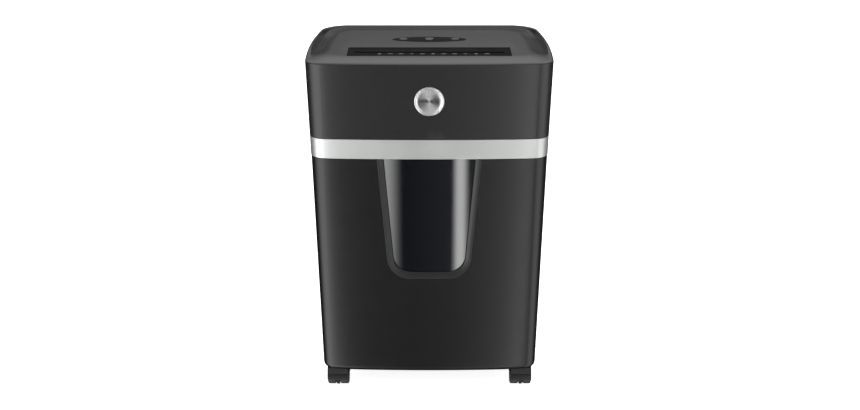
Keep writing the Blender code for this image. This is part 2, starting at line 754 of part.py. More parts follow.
# ---- Head: paper path ------------------------------------------------------------------------
def rectangle(half_x, low_y, high_y, z):
    corners = ((-half_x, low_y), (half_x, low_y), (half_x, high_y), (-half_x, high_y))
    return [Vector((x, y, z)) for x, y in corners]


def make_feed_throat():
    """Guide under the deck: a ramp down to the slot, steep behind it and at its ends."""
    front = FEED_FRONT_Y
    back = FEED_BACK_Y
    half = FEED_HALF_WIDTH
    throat = loft("feed_throat", [
        rectangle(half, front, back, DECK_Z - 0.0004),
        rectangle(half, front, back, THROAT_SKIRT_Z),
        rectangle(half - 0.0075, SLOT_Y - 0.0140, SLOT_Y + 0.0120, THROAT_WAIST_Z),
        rectangle(half - 0.0090, SLOT_Y - THROAT_TIP_HALF, SLOT_Y + THROAT_TIP_HALF, THROAT_BASE_Z),
    ])
    low_y = SLOT_Y - SLOT_HALF_DEPTH
    high_y = SLOT_Y + SLOT_HALF_DEPTH
    mouth = loft("mouth", [
        rectangle(half - 0.0002, front + 0.0006, back - 0.0006, DECK_Z + 0.0010),
        rectangle(FEED_INNER_HALF, low_y, high_y, SLOT_LIP_Z),
        rectangle(SLOT_HALF_WIDTH, low_y, high_y, SLOT_LIP_Z - 0.0010),
        rectangle(SLOT_HALF_WIDTH, low_y, high_y, THROAT_BASE_Z - REACH),
    ])
    boolean(throat, mouth)
    y, z = LEVER_AXIS
    notch_low = (-NOTCH_HALF_WIDTH, SLOT_Y, z - 0.0190)
    notch_high = (NOTCH_HALF_WIDTH, y + 0.0120, z + 0.0055)
    boolean(throat, box("lever_notch", notch_low, notch_high))
    place(throat, GLOSS_BLACK)


def make_start_lever():
    """Paper sensor: its arm crosses the slot and swings down as paper enters."""
    y, z = LEVER_AXIS
    axis = pivot("start_lever_axis", (0, y, z))
    half = NOTCH_HALF_WIDTH - 0.0007
    lever = cylinder("start_lever", LEVER_HUB_RADIUS, -half, half, (y, z), "X", 12)
    arm_low = (0.0008 - half, SLOT_Y - 0.0030, z - LEVER_ARM_HALF)
    arm_high = (half - 0.0008, y - LEVER_ARM_HALF, z + LEVER_ARM_HALF)
    arm = box("arm", arm_low, arm_high)
    boolean(lever, arm, "UNION")
    place(lever, GEAR_NYLON, parent=axis)


def make_control_panel():
    panel = loft("control_panel", [
        panel_ring(0.0, DECK_Z - 0.0029),
        panel_ring(0.0, DECK_Z + 0.0002),
        panel_ring(-0.0010, DECK_Z + 0.0006),
    ])
    for x in (-BUTTON_SPACING, 0, BUTTON_SPACING):
        hole = cylinder("hole", BUTTON_RADIUS + GAP, DECK_Z - REACH, DECK_Z + REACH, (x, PANEL_Y))
        boolean(panel, hole)
    place(panel, GLOSS_BLACK)


def make_buttons():
    """Round push buttons, each with a flange under the panel that holds it in."""
    names = {"button_reverse": -BUTTON_SPACING, "button_power": 0.0, "button_forward": BUTTON_SPACING}
    for name, x in names.items():
        top = DECK_Z + 0.0014
        flange_z = DECK_Z - 0.0034
        base_z = DECK_Z - 0.0050
        profile = [
            (0.0, top),
            (BUTTON_RADIUS - 0.0010, top),
            (BUTTON_RADIUS, top - 0.0008),
            (BUTTON_RADIUS, flange_z),
            (BUTTON_FLANGE_RADIUS, flange_z),
            (BUTTON_FLANGE_RADIUS, base_z),
            (0.0, base_z),
        ]
        axis = pivot(name + "_axis", (x, PANEL_Y, top))
        button = turned(name, profile, 16)
        place(button, BLACK_PLASTIC, (x, PANEL_Y, 0), parent=axis)


# ---- Head: cutters and gears -----------------------------------------------------------------
def bored(obj, radius, x, y, z, steps=16):
    """Cut a round hole along X through a piece."""
    reach = 3 * REACH
    boolean(obj, cylinder("bore", radius, x - reach, x + reach, (y, z), "X", steps))


def make_side_plates():
    for name, x in (("side_plate_left", -SIDE_PLATE_X), ("side_plate_right", SIDE_PLATE_X)):
        low_x = x - PLATE_THICKNESS / 2
        high_x = x + PLATE_THICKNESS / 2
        plate = box(name, (low_x, PLATE_FRONT_Y, PLATE_BASE_Z), (high_x, PLATE_BACK_Y, PLATE_TOP_Z))
        for shaft_y in (FRONT_SHAFT_Y, REAR_SHAFT_Y):
            bored(plate, BUSH_RADIUS + GAP, x, shaft_y, SHAFT_Z, 20)
        relief_low = (x - REACH, FOOT_BACK_Y, PLATE_BASE_Z - REACH)
        relief_high = (x + REACH, PLATE_BACK_Y + REACH, FOOT_TOP_Z)
        boolean(plate, box("relief", relief_low, relief_high))
        if x > 0:
            bored(plate, ROTOR_PASSAGE_RADIUS, x, MOTOR_Y, MOTOR_Z, 16)
            bored(plate, PIN_RADIUS + GAP, x, IDLER_Y, IDLER_Z, 12)
        place(plate, STEEL)


def make_bushes():
    shafts = {"front": FRONT_SHAFT_Y, "rear": REAR_SHAFT_Y}
    for side, x in (("left", -SIDE_PLATE_X), ("right", SIDE_PLATE_X)):
        for word, y in shafts.items():
            half = PLATE_THICKNESS / 2 + 0.0010
            bore = SHAFT_RADIUS + GAP
            profile = [(bore, half), (BUSH_RADIUS, half), (BUSH_RADIUS, -half), (bore, -half)]
            bush = turned("bearing_" + word + "_" + side, profile, 20, closed=True)
            place(bush, STEEL, (x, y, SHAFT_Z), ALONG_X)


def make_tie_rods():
    half = SIDE_PLATE_X - PLATE_THICKNESS / 2 - GAP
    for name, y in (("tie_rod_front", SLOT_Y - TIE_ROD_REACH), ("tie_rod_rear", SLOT_Y + TIE_ROD_REACH)):
        rod = cylinder(name, TIE_ROD_RADIUS, -half, half, (y, TIE_ROD_Z), "X", 12)
        place(rod, STEEL)


def make_cutter(name, y, first_disc, right_end, axis):
    """Shaft with a stack of cutting discs, listed from its right end to its left."""
    profile = [(0.0, right_end), (SHAFT_RADIUS, right_end), (SHAFT_RADIUS, CUTTER_HALF_LENGTH)]
    profile.append((CORE_RADIUS, CUTTER_HALF_LENGTH))
    for disc in range(DISC_COUNT - 1, -1, -1):
        middle = first_disc + disc * DISC_PITCH
        for radius, x in (
            (CORE_RADIUS, middle + DISC_WIDTH / 2),
            (DISC_RADIUS, middle + DISC_WIDTH / 2),
            (DISC_RADIUS, middle - DISC_WIDTH / 2),
            (CORE_RADIUS, middle - DISC_WIDTH / 2),
        ):
            profile.append((radius, x))
    profile.append((CORE_RADIUS, -CUTTER_HALF_LENGTH))
    profile.append((SHAFT_RADIUS, -CUTTER_HALF_LENGTH))
    left_end = -SIDE_PLATE_X - 0.0060
    profile += [(SHAFT_RADIUS, left_end), (0.0, left_end)]
    shaft = turned(name, profile, 10)
    place(shaft, STEEL, (0, y, SHAFT_Z), ALONG_X, axis)


def make_scraper(name, shaft_y, side, first_disc):
    """Comb whose teeth reach between one shaft's discs from outside."""
    spine_far = DISC_RADIUS + 0.0090
    spine_near = DISC_RADIUS + 0.0015
    tip = CORE_RADIUS + TOOTH_CLEARANCE
    gap_half = (DISC_PITCH - DISC_WIDTH) / 2 - TOOTH_CLEARANCE
    half = SIDE_PLATE_X - PLATE_THICKNESS / 2 - GAP
    outline = [(half, spine_far), (-half, spine_far), (-half, spine_near)]
    for space in range(DISC_COUNT - 1):
        middle = first_disc + (space + 0.5) * DISC_PITCH
        outline += [
            (middle - gap_half, spine_near),
            (middle - gap_half, tip),
            (middle + gap_half, tip),
            (middle + gap_half, spine_near),
        ]
    outline.append((half, spine_near))
    placed = [(x, shaft_y + side * reach) for x, reach in outline]
    comb = extruded(name, placed, COMB_THICKNESS)
    place(comb, GEAR_NYLON, (0, 0, SHAFT_Z))


def make_cutters_and_gears():
    front = pivot("cutter_front_axis", (0, FRONT_SHAFT_Y, SHAFT_Z))
    rear = pivot("cutter_rear_axis", (0, REAR_SHAFT_Y, SHAFT_Z))
    first = -DISC_PITCH * (DISC_COUNT - 1) / 2 - DISC_PITCH / 4
    make_cutter("cutter_shaft_front", FRONT_SHAFT_Y, first, SYNC_X + 0.006, front)
    make_cutter("cutter_shaft_rear", REAR_SHAFT_Y, first + DISC_PITCH / 2, FINAL_X + 0.005, rear)
    make_scraper("scraper_front", FRONT_SHAFT_Y, -1, first)
    make_scraper("scraper_rear", REAR_SHAFT_Y, 1, first + DISC_PITCH / 2)

    half_tooth = pi / SYNC_TEETH
    for name, y, phase, axis in (
        ("sync_gear_front", FRONT_SHAFT_Y, 0.0, front),
        ("sync_gear_rear", REAR_SHAFT_Y, half_tooth, rear),
    ):
        gear = extruded(name, gear_outline(SYNC_TEETH, SYNC_RADIUS, phase, 0.0016), GEAR_WIDTH)
        place(gear, STEEL, (SYNC_X, y, SHAFT_Z), ALONG_X, axis)
        bored(gear, SHAFT_RADIUS + GAP, SYNC_X, y, SHAFT_Z)

    height = GEAR_MODULE * 0.45
    final = extruded("final_gear", gear_outline(FINAL_TEETH, FINAL_RADIUS, IDLER_ANGLE, height), GEAR_WIDTH)
    place(final, GEAR_NYLON, (FINAL_X, REAR_SHAFT_Y, SHAFT_Z), ALONG_X, rear)
    bored(final, SHAFT_RADIUS + GAP, FINAL_X, REAR_SHAFT_Y, SHAFT_Z)

    idler_axis = pivot("idler_axis", (0, IDLER_Y, IDLER_Z))
    small_phase = IDLER_ANGLE + pi + pi / IDLER_SMALL_TEETH
    idler = extruded(
        "idler_gear", gear_outline(IDLER_BIG_TEETH, IDLER_BIG_RADIUS, MOTOR_ANGLE, height), GEAR_WIDTH
    )
    place(idler, GEAR_NYLON, (IDLER_BIG_X, IDLER_Y, IDLER_Z), ALONG_X, idler_axis)
    outline = gear_outline(IDLER_SMALL_TEETH, IDLER_SMALL_RADIUS, small_phase, height)
    length = IDLER_BIG_X - FINAL_X + GEAR_WIDTH / 2
    small = extruded("small_gear", outline, length)
    small.rotation_euler = ALONG_X.to_euler()
    small.location = (FINAL_X - GEAR_WIDTH / 2 + length / 2, IDLER_Y, IDLER_Z)
    boolean(idler, small, "UNION")
    bored(idler, PIN_RADIUS + GAP, IDLER_BIG_X, IDLER_Y, IDLER_Z)
    low = SIDE_PLATE_X - PLATE_THICKNESS / 2 - 0.001
    high = IDLER_BIG_X + 0.006
    pin = cylinder("idler_pin", PIN_RADIUS, low, high, (IDLER_Y, IDLER_Z), "X", 12)
    place(pin, STEEL)


def make_gear_cover():
    """Guard over the gear train, open towards the side plate."""
    low = (SIDE_PLATE_X + PLATE_THICKNESS / 2 + GAP, SLOT_Y - 0.0500, 0.4320)
    high = (IDLER_BIG_X + 0.0080, PLATE_BACK_Y - 0.0060, 0.5260)
    cover = box("gear_cover", low, high)
    wall = 0.0016
    inside_low = (low[0] - 0.01, low[1] + wall, low[2] + wall)
    inside_high = (high[0] - wall, high[1] - wall, high[2] - wall)
    boolean(cover, box("inside", inside_low, inside_high))
    place(cover, BLACK_PLASTIC)


# ---- Head: drive and electrics ---------------------------------------------------------------
def make_motor():
    """Motor can, bored through; its rotor with pinion and fan; and the bracket that holds it."""
    half = (MOTOR_RIGHT_X - MOTOR_LEFT_X) / 2
    middle = (MOTOR_RIGHT_X + MOTOR_LEFT_X) / 2
    profile = [
        (MOTOR_BORE_RADIUS, half),
        (MOTOR_RADIUS - MOTOR_EDGE, half),
        (MOTOR_RADIUS, half - MOTOR_EDGE),
        (MOTOR_RADIUS, MOTOR_EDGE - half),
        (MOTOR_RADIUS - MOTOR_EDGE, -half),
        (MOTOR_BORE_RADIUS, -half),
        (MOTOR_BORE_RADIUS, MOTOR_CAP - half),
        (MOTOR_CAVITY_RADIUS, MOTOR_CAP - half),
        (MOTOR_CAVITY_RADIUS, half - MOTOR_CAP),
        (MOTOR_BORE_RADIUS, half - MOTOR_CAP),
    ]
    body = turned("motor_body", profile, 24, closed=True)
    place(body, MOTOR_PAINT, (middle, MOTOR_Y, MOTOR_Z), ALONG_X)

    axis = pivot("rotor_axis", (0, MOTOR_Y, MOTOR_Z))
    core = half - 2 * MOTOR_CAP
    right_end = IDLER_BIG_X + 0.0050 - middle
    left_end = MOTOR_LEFT_X - 0.0180 - middle
    rotor_profile = [
        (0.0, right_end),
        (ROTOR_SHAFT_RADIUS, right_end),
        (ROTOR_SHAFT_RADIUS, core),
        (ROTOR_RADIUS, core),
        (ROTOR_RADIUS, -core),
        (ROTOR_SHAFT_RADIUS, -core),
        (ROTOR_SHAFT_RADIUS, left_end),
        (0.0, left_end),
    ]
    rotor = turned("motor_rotor", rotor_profile, 16)
    place(rotor, STEEL, (middle, MOTOR_Y, MOTOR_Z), ALONG_X, axis)
    phase = MOTOR_ANGLE + pi + pi / PINION_TEETH
    outline = gear_outline(PINION_TEETH, PINION_RADIUS, phase, GEAR_MODULE * 0.45)
    pinion = extruded("motor_pinion", outline, GEAR_WIDTH)
    place(pinion, STEEL, (IDLER_BIG_X, MOTOR_Y, MOTOR_Z), ALONG_X, axis)
    bored(pinion, ROTOR_SHAFT_RADIUS + GAP, IDLER_BIG_X, MOTOR_Y, MOTOR_Z)

    fan_x = MOTOR_LEFT_X - 0.010
    fan = cylinder("motor_fan", FAN_HUB_RADIUS, fan_x - 0.005, fan_x + 0.005, (MOTOR_Y, MOTOR_Z), "X", 16)
    for blade in range(FAN_BLADES):
        vane = box("vane", (-0.0045, 0.0060, -0.0007), (0.0045, 0.0260, 0.0007))
        turn = Matrix.Rotation(2 * pi * blade / FAN_BLADES, 3, "X") @ Matrix.Rotation(FAN_PITCH, 3, "Y")
        vane.rotation_euler = turn.to_euler()
        vane.location = (fan_x, MOTOR_Y, MOTOR_Z)
        boolean(fan, vane, "UNION")
    bored(fan, ROTOR_SHAFT_RADIUS + GAP, fan_x, MOTOR_Y, MOTOR_Z)
    place(fan, GEAR_NYLON, parent=axis)

    low = (BRACKET_LEFT_X, MOTOR_Y - BRACKET_HALF_Y, TRAY_TOP_Z + GAP)
    high = (BRACKET_RIGHT_X, MOTOR_Y + BRACKET_HALF_Y, MOTOR_Z + 0.018)
    bracket = box("motor_bracket", low, high)
    bored(bracket, MOTOR_RADIUS + 2 * GAP, BRACKET_LEFT_X, MOTOR_Y, MOTOR_Z, 24)
    place(bracket, STEEL)


def make_electrics():
    place(box("power_board", BOARD_LOW, BOARD_HIGH), BOARD_GREEN)
    place(box("transformer", TRANSFORMER_LOW, TRANSFORMER_HIGH), MOTOR_PAINT)
    x, y = INTERLOCK_CENTRE
    low = (x - 0.006, y - 0.010, SWITCH_BASE_Z)
    high = (x + 0.006, y + 0.010, SWITCH_TOP_Z)
    switch = box("interlock_switch", low, high)
    way_low = SWITCH_BASE_Z - REACH
    way = cylinder("plunger_way", PLUNGER_RADIUS + GAP, way_low, PLUNGER_WAY_TOP_Z, (x, y), steps=12)
    boolean(switch, way)
    place(switch, GLOSS_BLACK)
    axis = pivot("interlock_axis", (x, y, PLUNGER_BASE_Z))
    plunger = cylinder("interlock_plunger", PLUNGER_RADIUS, PLUNGER_BASE_Z, PLUNGER_TOP_Z, (x, y), steps=12)
    place(plunger, GEAR_NYLON, parent=axis)


def make_rear_fittings():
    x, z = ROCKER_CENTRE
    wall_y = rear_wall_y(z)
    axis_y = wall_y - ROCKER_SET_BACK
    axis = pivot("mains_rocker_axis", (x, axis_y, z))
    outline = [
        (-ROCKER_HALF_HEIGHT, 0.0020),
        (0.0, 0.0004),
        (ROCKER_HALF_HEIGHT, 0.0038),
        (ROCKER_HALF_HEIGHT, -0.0050),
        (-ROCKER_HALF_HEIGHT, -0.0050),
    ]
    rocker = extruded("mains_rocker", outline, ROCKER_WIDTH)
    # The outline runs up the wall and out of it; the rocker's width lies across the back.
    upright = Matrix(((0, 0, 1), (0, 1, 0), (-1, 0, 0)))
    place(rocker, GLOSS_BLACK, (x, axis_y, z), upright, axis)

    gland_x, gland_z = GLAND_CENTRE
    profile = [
        (0.0036, 0.0022),
        (0.0058, 0.0022),
        (0.0066, 0.0005),
        (0.0066, -0.0037),
        (0.0092, -0.0037),
        (0.0092, -0.0070),
        (0.0036, -0.0070),
    ]
    gland = turned("cord_gland", profile, 20, closed=True)
    outward = Matrix.Rotation(-pi / 2, 3, "X")
    place(gland, RUBBER, (gland_x, rear_wall_y(gland_z), gland_z), outward)


make_bin()
make_bezel()
make_pane()
for caster_name, (caster_x, caster_y) in CASTERS.items():
    make_caster(caster_name, caster_x, caster_y)
make_head_shell()
make_band()
make_top_cover()
make_badge()
make_base_tray()
make_feed_throat()
make_start_lever()
make_control_panel()
make_buttons()
make_side_plates()
make_bushes()
make_tie_rods()
make_cutters_and_gears()
make_gear_cover()
make_motor()
make_electrics()
make_rear_fittings()
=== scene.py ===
"""Looks of the paper shredder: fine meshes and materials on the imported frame.

Metres, +Z up, the front faces -Y. Every place comes from the frame's own boxes.
"""

import json
from math import atan, cos, pi, radians, sin, tan

import bmesh
import bpy
from mathutils import Matrix, Vector


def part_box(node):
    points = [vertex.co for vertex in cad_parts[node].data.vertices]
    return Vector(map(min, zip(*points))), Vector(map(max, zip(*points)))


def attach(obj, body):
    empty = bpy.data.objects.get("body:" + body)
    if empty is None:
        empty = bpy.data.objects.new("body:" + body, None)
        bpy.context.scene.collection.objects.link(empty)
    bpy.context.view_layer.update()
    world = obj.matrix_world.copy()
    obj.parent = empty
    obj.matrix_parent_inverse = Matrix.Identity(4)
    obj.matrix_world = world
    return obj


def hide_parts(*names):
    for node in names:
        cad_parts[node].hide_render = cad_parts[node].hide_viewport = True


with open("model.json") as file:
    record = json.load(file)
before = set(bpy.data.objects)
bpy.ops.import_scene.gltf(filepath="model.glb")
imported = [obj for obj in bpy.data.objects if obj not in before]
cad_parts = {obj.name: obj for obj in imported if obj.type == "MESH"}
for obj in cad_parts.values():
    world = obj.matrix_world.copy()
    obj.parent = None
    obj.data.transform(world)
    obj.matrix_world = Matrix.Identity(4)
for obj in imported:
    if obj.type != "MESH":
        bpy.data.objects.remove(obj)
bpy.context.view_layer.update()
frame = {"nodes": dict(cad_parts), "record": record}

# ---- Places read from the frame --------------------------------------------------------------
BODY_LOW, BODY_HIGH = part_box("top_cover")
SHELL_LOW, SHELL_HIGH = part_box("head_shell")
BAND_LOW, BAND_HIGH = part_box("silver_band")
BIN_LOW, BIN_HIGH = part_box("bin_bucket")
BEZEL_LOW, BEZEL_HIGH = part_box("window_bezel")
PANE_LOW, PANE_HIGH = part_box("window_pane")
THROAT_LOW, THROAT_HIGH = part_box("feed_throat")
PANEL_LOW, PANEL_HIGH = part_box("control_panel")
BADGE_LOW, BADGE_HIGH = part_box("badge_disc")

HALF_WIDTH = BODY_HIGH.x
DEPTH = BODY_HIGH.y - BODY_LOW.y
FRONT_Y = BODY_LOW.y
SEAM_Z = SHELL_HIGH.z + 0.0003
RIM_TOP_Z = BODY_HIGH.z
DECK_Z = THROAT_HIGH.z + 0.0004
BAND_TOP_Z = BAND_HIGH.z
BAND_BASE_Z = BAND_LOW.z
BIN_RIM_Z = BIN_HIGH.z
BIN_FLOOR_Z = BIN_LOW.z

# ---- Shape of the body -----------------------------------------------------------------------
FRONT_CORNER = 0.024
REAR_CORNER = 0.042
FRONT_BOW = 0.0065
CORNER_EASE = 0.0030
SIDE_BARREL = 0.151
WIDEST_Y = FRONT_Y + 0.065
WALL = 0.0028
BAND_TOP_INSET = HALF_WIDTH - BAND_HIGH.x
BAND_BASE_INSET = BAND_TOP_INSET + 0.0010
BIN_RIM_INSET = HALF_WIDTH - BIN_HIGH.x
BIN_FLOOR_INSET = BIN_RIM_INSET + 0.0104
BIN_EDGE_RADIUS = 0.012
DISH = 0.0032

WINDOW_SIDE_SLOPE = radians(4.9)
BEZEL_CORNER = 0.038
PANE_CORNER = 0.028
PANE_SET_BACK = 0.0068
PANE_BULGE = 0.0062
PANE_THICKNESS = 0.0025
BEZEL_DEPTH = 0.0100
GAP = 0.0003

# ---- Casters and their sockets ---------------------------------------------------------------
CASTER_NAMES = ("fl", "fr", "rl", "rr")
BOSS_RADIUS = 0.0120
BOSS_TOP_Z = 0.0640
SOCKET_RADIUS = 0.0053
SOCKET_TOP_Z = 0.0600
STEM_RADIUS = 0.0049
HOOD_RADIUS = 0.0197
HOOD_CLEARANCE = 0.0007
HOOD_OPENING = 0.0042
NECK_TOP_Z = 0.0375
BROW_BASE_Z = 0.0259
BROW_HALF_WIDTH = 0.0164
BROW_REACH = 0.0099
WEB_HALF_WIDTH = 0.0026
WEB_BASE_Z = 0.0026
AXLE_BORE = 0.0033

# ---- Deck, from the seam inwards -------------------------------------------------------------
LIP_RISE = 0.0010
LIP_START = -0.012
LIP_END = 0.036
EDGE_ROUND = 0.0040
RIM_CREST = 0.0064
RIM_FOOT = 0.0102
DISH_START = 0.0110
DISH_END = 0.0360
SCOOP_DEPTH = 0.0058
SCOOP_WIDTH = 0.0278
DECK_INSETS = (
    0.0, 0.0002, 0.0006, 0.0012, 0.0020, 0.0030, 0.0042, 0.0055, 0.0064, 0.0070, 0.0076, 0.0082, 0.0088,
    0.0094, 0.0100, 0.0106, 0.0115, 0.0125, 0.0145, 0.0165, 0.0185, 0.0205, 0.0230, 0.0255, 0.0280,
    0.0310, 0.0340, 0.0370, 0.0400,
)

# ---- Head ------------------------------------------------------------------------------------
NECK_SET_BACK = 0.0018
NECK_WALL = 0.0024
BAND_THICKNESS = 0.0015
GLAND_HOLE_RADIUS = 0.0070
SLOT_Y = THROAT_LOW.y + 0.040
SLOT_HALF_DEPTH = 0.0035
SLOT_HALF_WIDTH = 0.1165
RAMP_EDGE_DROP = 0.0008
RAMP_FOOT_DROP = 0.0035
PANEL_HALF_DEPTH = 0.0185
PANEL_SIDES = 28
BUTTON_NAMES = ("button_reverse", "button_power", "button_forward")
BUTTON_HOLE_RADIUS = 0.0071

# ---- Camera and studio -----------------------------------------------------------------------
CAMERA_X = 0.0010
CAMERA_DISTANCE = 2.0542
CAMERA_Z = 1.0476
CAMERA_DIP = 20.28
FLOOR_HALF = 14
FLOOR_GLOW = 0.88
SURROUND = 0.115
LEFT_SURROUND = 0.020
REAR_SHARE = 0.3
ZENITH = 1.3
REAR_WALL = 0.30
TOP_POWER = 18
FILL_POWER = 27
BACK_POWER = 20
# Each soft box: turn off the front axis and rise above the horizon, in degrees, as where it starts,
# how softly, where it ends and how softly; then its strength.
SOFT_BOXES = (
    ((-112.0, 55.0, -21.5, 9.0), (-75.0, 12.0, -4.0, 12.0), 3.6),
    ((10.4, 4.0, 15.4, 4.4), (-75.0, 12.0, -4.0, 12.0), 5.4),
    ((19.0, 12.0, 80.0, 32.0), (-75.0, 12.0, -4.0, 12.0), 0.80),
    ((26.0, 34.0, 66.0, 44.0), (-75.0, 12.0, -4.0, 12.0), 1.0),
)


# ---- Camera ----------------------------------------------------------------------------------
def make_camera():
    data = bpy.data.cameras.new("camera")
    data.sensor_width = 36.0
    data.lens = 57.6
    data.shift_y = 0.0361
    camera = bpy.data.objects.new("camera", data)
    camera.location = (CAMERA_X, FRONT_Y - CAMERA_DISTANCE, CAMERA_Z)
    camera.rotation_euler = (radians(90 - CAMERA_DIP), 0, 0)
    bpy.context.scene.collection.objects.link(camera)
    bpy.context.scene.camera = camera


make_camera()


# ---- Mesh helpers ----------------------------------------------------------------------------
def object_from_bmesh(name, bm):
    bmesh.ops.recalc_face_normals(bm, faces=bm.faces)
    mesh = bpy.data.meshes.new(name)
    bm.to_mesh(mesh)
    bm.free()
    obj = bpy.data.objects.new(name, mesh)
    bpy.context.scene.collection.objects.link(obj)
    return obj


def loft(name, rings, capped=True):
    """Surface through rings of equal point counts, closed by caps or back on its first ring."""
    bm = bmesh.new()
    loops = [[bm.verts.new(point) for point in ring] for ring in rings]
    pairs = list(zip(loops, loops[1:]))
    if not capped:
        pairs.append((loops[-1], loops[0]))
    count = len(rings[0])
    for lower, upper in pairs:
        for i in range(count):
            j = (i + 1) % count
            bm.faces.new((lower[i], lower[j], upper[j], upper[i]))
    if capped:
        bm.faces.new(loops[0])
        bm.faces.new(loops[-1])
    return object_from_bmesh(name, bm)


def box(name, low, high):
    bm = bmesh.new()
    size = Vector(high) - Vector(low)
    middle = (Vector(high) + Vector(low)) / 2
    bmesh.ops.create_cube(bm, size=1.0, matrix=Matrix.Translation(middle) @ Matrix.Diagonal((*size, 1.0)))
    return object_from_bmesh(name, bm)


def cylinder(name, radius, low, high, matrix, steps=48):
    """Cylinder from low to high along the Z of a matrix."""
    bm = bmesh.new()
    bmesh.ops.create_cone(
        bm, cap_ends=True, segments=steps, radius1=radius, radius2=radius,
        depth=high - low, matrix=matrix @ Matrix.Translation((0, 0, (low + high) / 2)),
    )
    return object_from_bmesh(name, bm)


def turned(name, profile, matrix, steps=64):
    """Turned piece from (radius, height) points; points on the axis are closed to one vertex."""
    bm = bmesh.new()
    rings = []
    for radius, height in profile:
        if radius < 1e-6:
            rings.append([bm.verts.new(matrix @ Vector((0, 0, height)))])
            continue
        ring = []
        for step in range(steps):
            angle = 2 * pi * step / steps
            point = Vector((radius * cos(angle), radius * sin(angle), height))
            ring.append(bm.verts.new(matrix @ point))
        rings.append(ring)
    closing = [rings[0]] if len(rings[0]) > 1 else []
    for first, second in zip(rings, rings[1:] + closing):
        for step in range(steps):
            after = (step + 1) % steps
            corners = [first[step % len(first)], first[after % len(first)]]
            corners += [second[after % len(second)], second[step % len(second)]]
            unique = list(dict.fromkeys(corners))
            if len(unique) > 2:
                bm.faces.new(unique)
    return object_from_bmesh(name, bm)


def bake(obj):
    """Makes obj's modified shape its own mesh."""
    bpy.context.view_layer.update()
    graph = bpy.context.evaluated_depsgraph_get()
    mesh = bpy.data.meshes.new_from_object(obj.evaluated_get(graph))
    obj.modifiers.clear()
    obj.data = mesh


def boolean(obj, tool, operation="DIFFERENCE"):
    modifier = obj.modifiers.new("boolean", "BOOLEAN")
    modifier.operation = operation
    modifier.solver = "EXACT"
    modifier.object = tool
    bake(obj)
    bpy.data.objects.remove(tool, do_unlink=True)


def join(obj, piece):
    """Adds a piece's mesh to obj's and removes the piece."""
    bm = bmesh.new()
    bm.from_mesh(obj.data)
    bm.from_mesh(piece.data)
    bm.to_mesh(obj.data)
    bm.free()
    bpy.data.objects.remove(piece, do_unlink=True)


def soften(obj, width=0.0006, segments=3, angle=35):
    """Smooth shading with small rounds on the sharp edges."""
    obj.data.shade_smooth()
    obj.data.set_sharp_from_angle(angle=radians(angle))
    bevel = obj.modifiers.new("rounds", "BEVEL")
    bevel.width = width
    bevel.segments = segments
    bevel.limit_method = "ANGLE"
    bevel.angle_limit = radians(angle)
    bevel.harden_normals = True


def dress(obj, paint, body, *nodes, slot=None):
    """Gives a piece its material and body, and has it stand for CAD nodes."""
    obj.data.materials.clear()
    obj.data.materials.append(paint)
    if nodes:
        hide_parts(*nodes)
    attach(obj, body)


# ---- Outlines --------------------------------------------------------------------------------
def spread(start, end, count):
    return [start + (end - start) * (i + 1) / (count + 1) for i in range(count)]


def plan_outline(inset, z=0.0):
    """Fine ring round the body at height z, standing in from the seam's outline by inset."""
    half = HALF_WIDTH - inset
    front = FRONT_Y + inset
    back = BODY_HIGH.y - inset
    near = max(FRONT_CORNER - inset / 2, 0.006)
    far = max(REAR_CORNER - inset / 2, 0.006)
    corners = (
        (half - near, front + near, near, -90),
        (half - far, back - far, far, 0),
        (far - half, back - far, far, 90),
        (near - half, front + near, near, 180),
    )
    steps = 16
    flat = []
    for centre_x, centre_y, radius, start in corners:
        for step in range(steps + 1):
            angle = radians(start + 90 * step / steps)
            flat.append((centre_x + radius * cos(angle), centre_y + radius * sin(angle)))
        if start == -90:
            flat += [(half, y) for y in spread(front + near, back - far, 20)]
        elif start == 0:
            flat += [(x, back) for x in spread(half - far, far - half, 16)]
        elif start == 90:
            flat += [(-half, y) for y in spread(back - far, front + near, 20)]
        else:
            flat += [(x, front) for x in spread(near - half, half - near, 40)]
    ring = []
    for x, y in flat:
        share = abs(x) / half
        bow = (FRONT_BOW * share ** 2 + CORNER_EASE * share ** 10) * (back - y) / (back - front)
        narrowing = 1 - SIDE_BARREL * ((y - WIDEST_Y) / DEPTH) ** 2
        ring.append(Vector((x * narrowing, y + bow, z)))
    return ring


def head_inset(z):
    return BAND_TOP_INSET * (SEAM_Z - z) / (SEAM_Z - BAND_TOP_Z)


def bin_inset(z):
    share = (BIN_RIM_Z - z) / (BIN_RIM_Z - BIN_FLOOR_Z)
    return BIN_RIM_INSET + (BIN_FLOOR_INSET - BIN_RIM_INSET) * share


def bin_front_y(x, z):
    inset = bin_inset(z)
    return FRONT_Y + inset + FRONT_BOW * (x / (HALF_WIDTH - inset)) ** 2


def window_outline(half_top, base_z, corner, top_z):
    """U-shaped (x, z) path: down the left side, round the bottom and up the right side."""
    centre_z = base_z + corner
    side_x = half_top - (BIN_RIM_Z - centre_z) * tan(WINDOW_SIDE_SLOPE)
    centre_x = side_x - corner / cos(WINDOW_SIDE_SLOPE)
    top_x = half_top + (top_z - BIN_RIM_Z) * tan(WINDOW_SIDE_SLOPE)
    steps = 20
    right = [(centre_x * s / 6, base_z) for s in range(1, 6)]
    for step in range(steps + 1):
        angle = -pi / 2 + (pi / 2 - WINDOW_SIDE_SLOPE) * step / steps
        right.append((centre_x + corner * cos(angle), centre_z + corner * sin(angle)))
    last_x, last_z = right[-1]
    for step in range(1, 13):
        right.append((last_x + (top_x - last_x) * step / 12, last_z + (top_z - last_z) * step / 12))
    left = [(-x, z) for x, z in reversed(right)]
    return left + [(0.0, base_z)] + right


def smooth_step(value, low, high):
    share = min(max((value - low) / (high - low), 0.0), 1.0)
    return share * share * (3 - 2 * share)


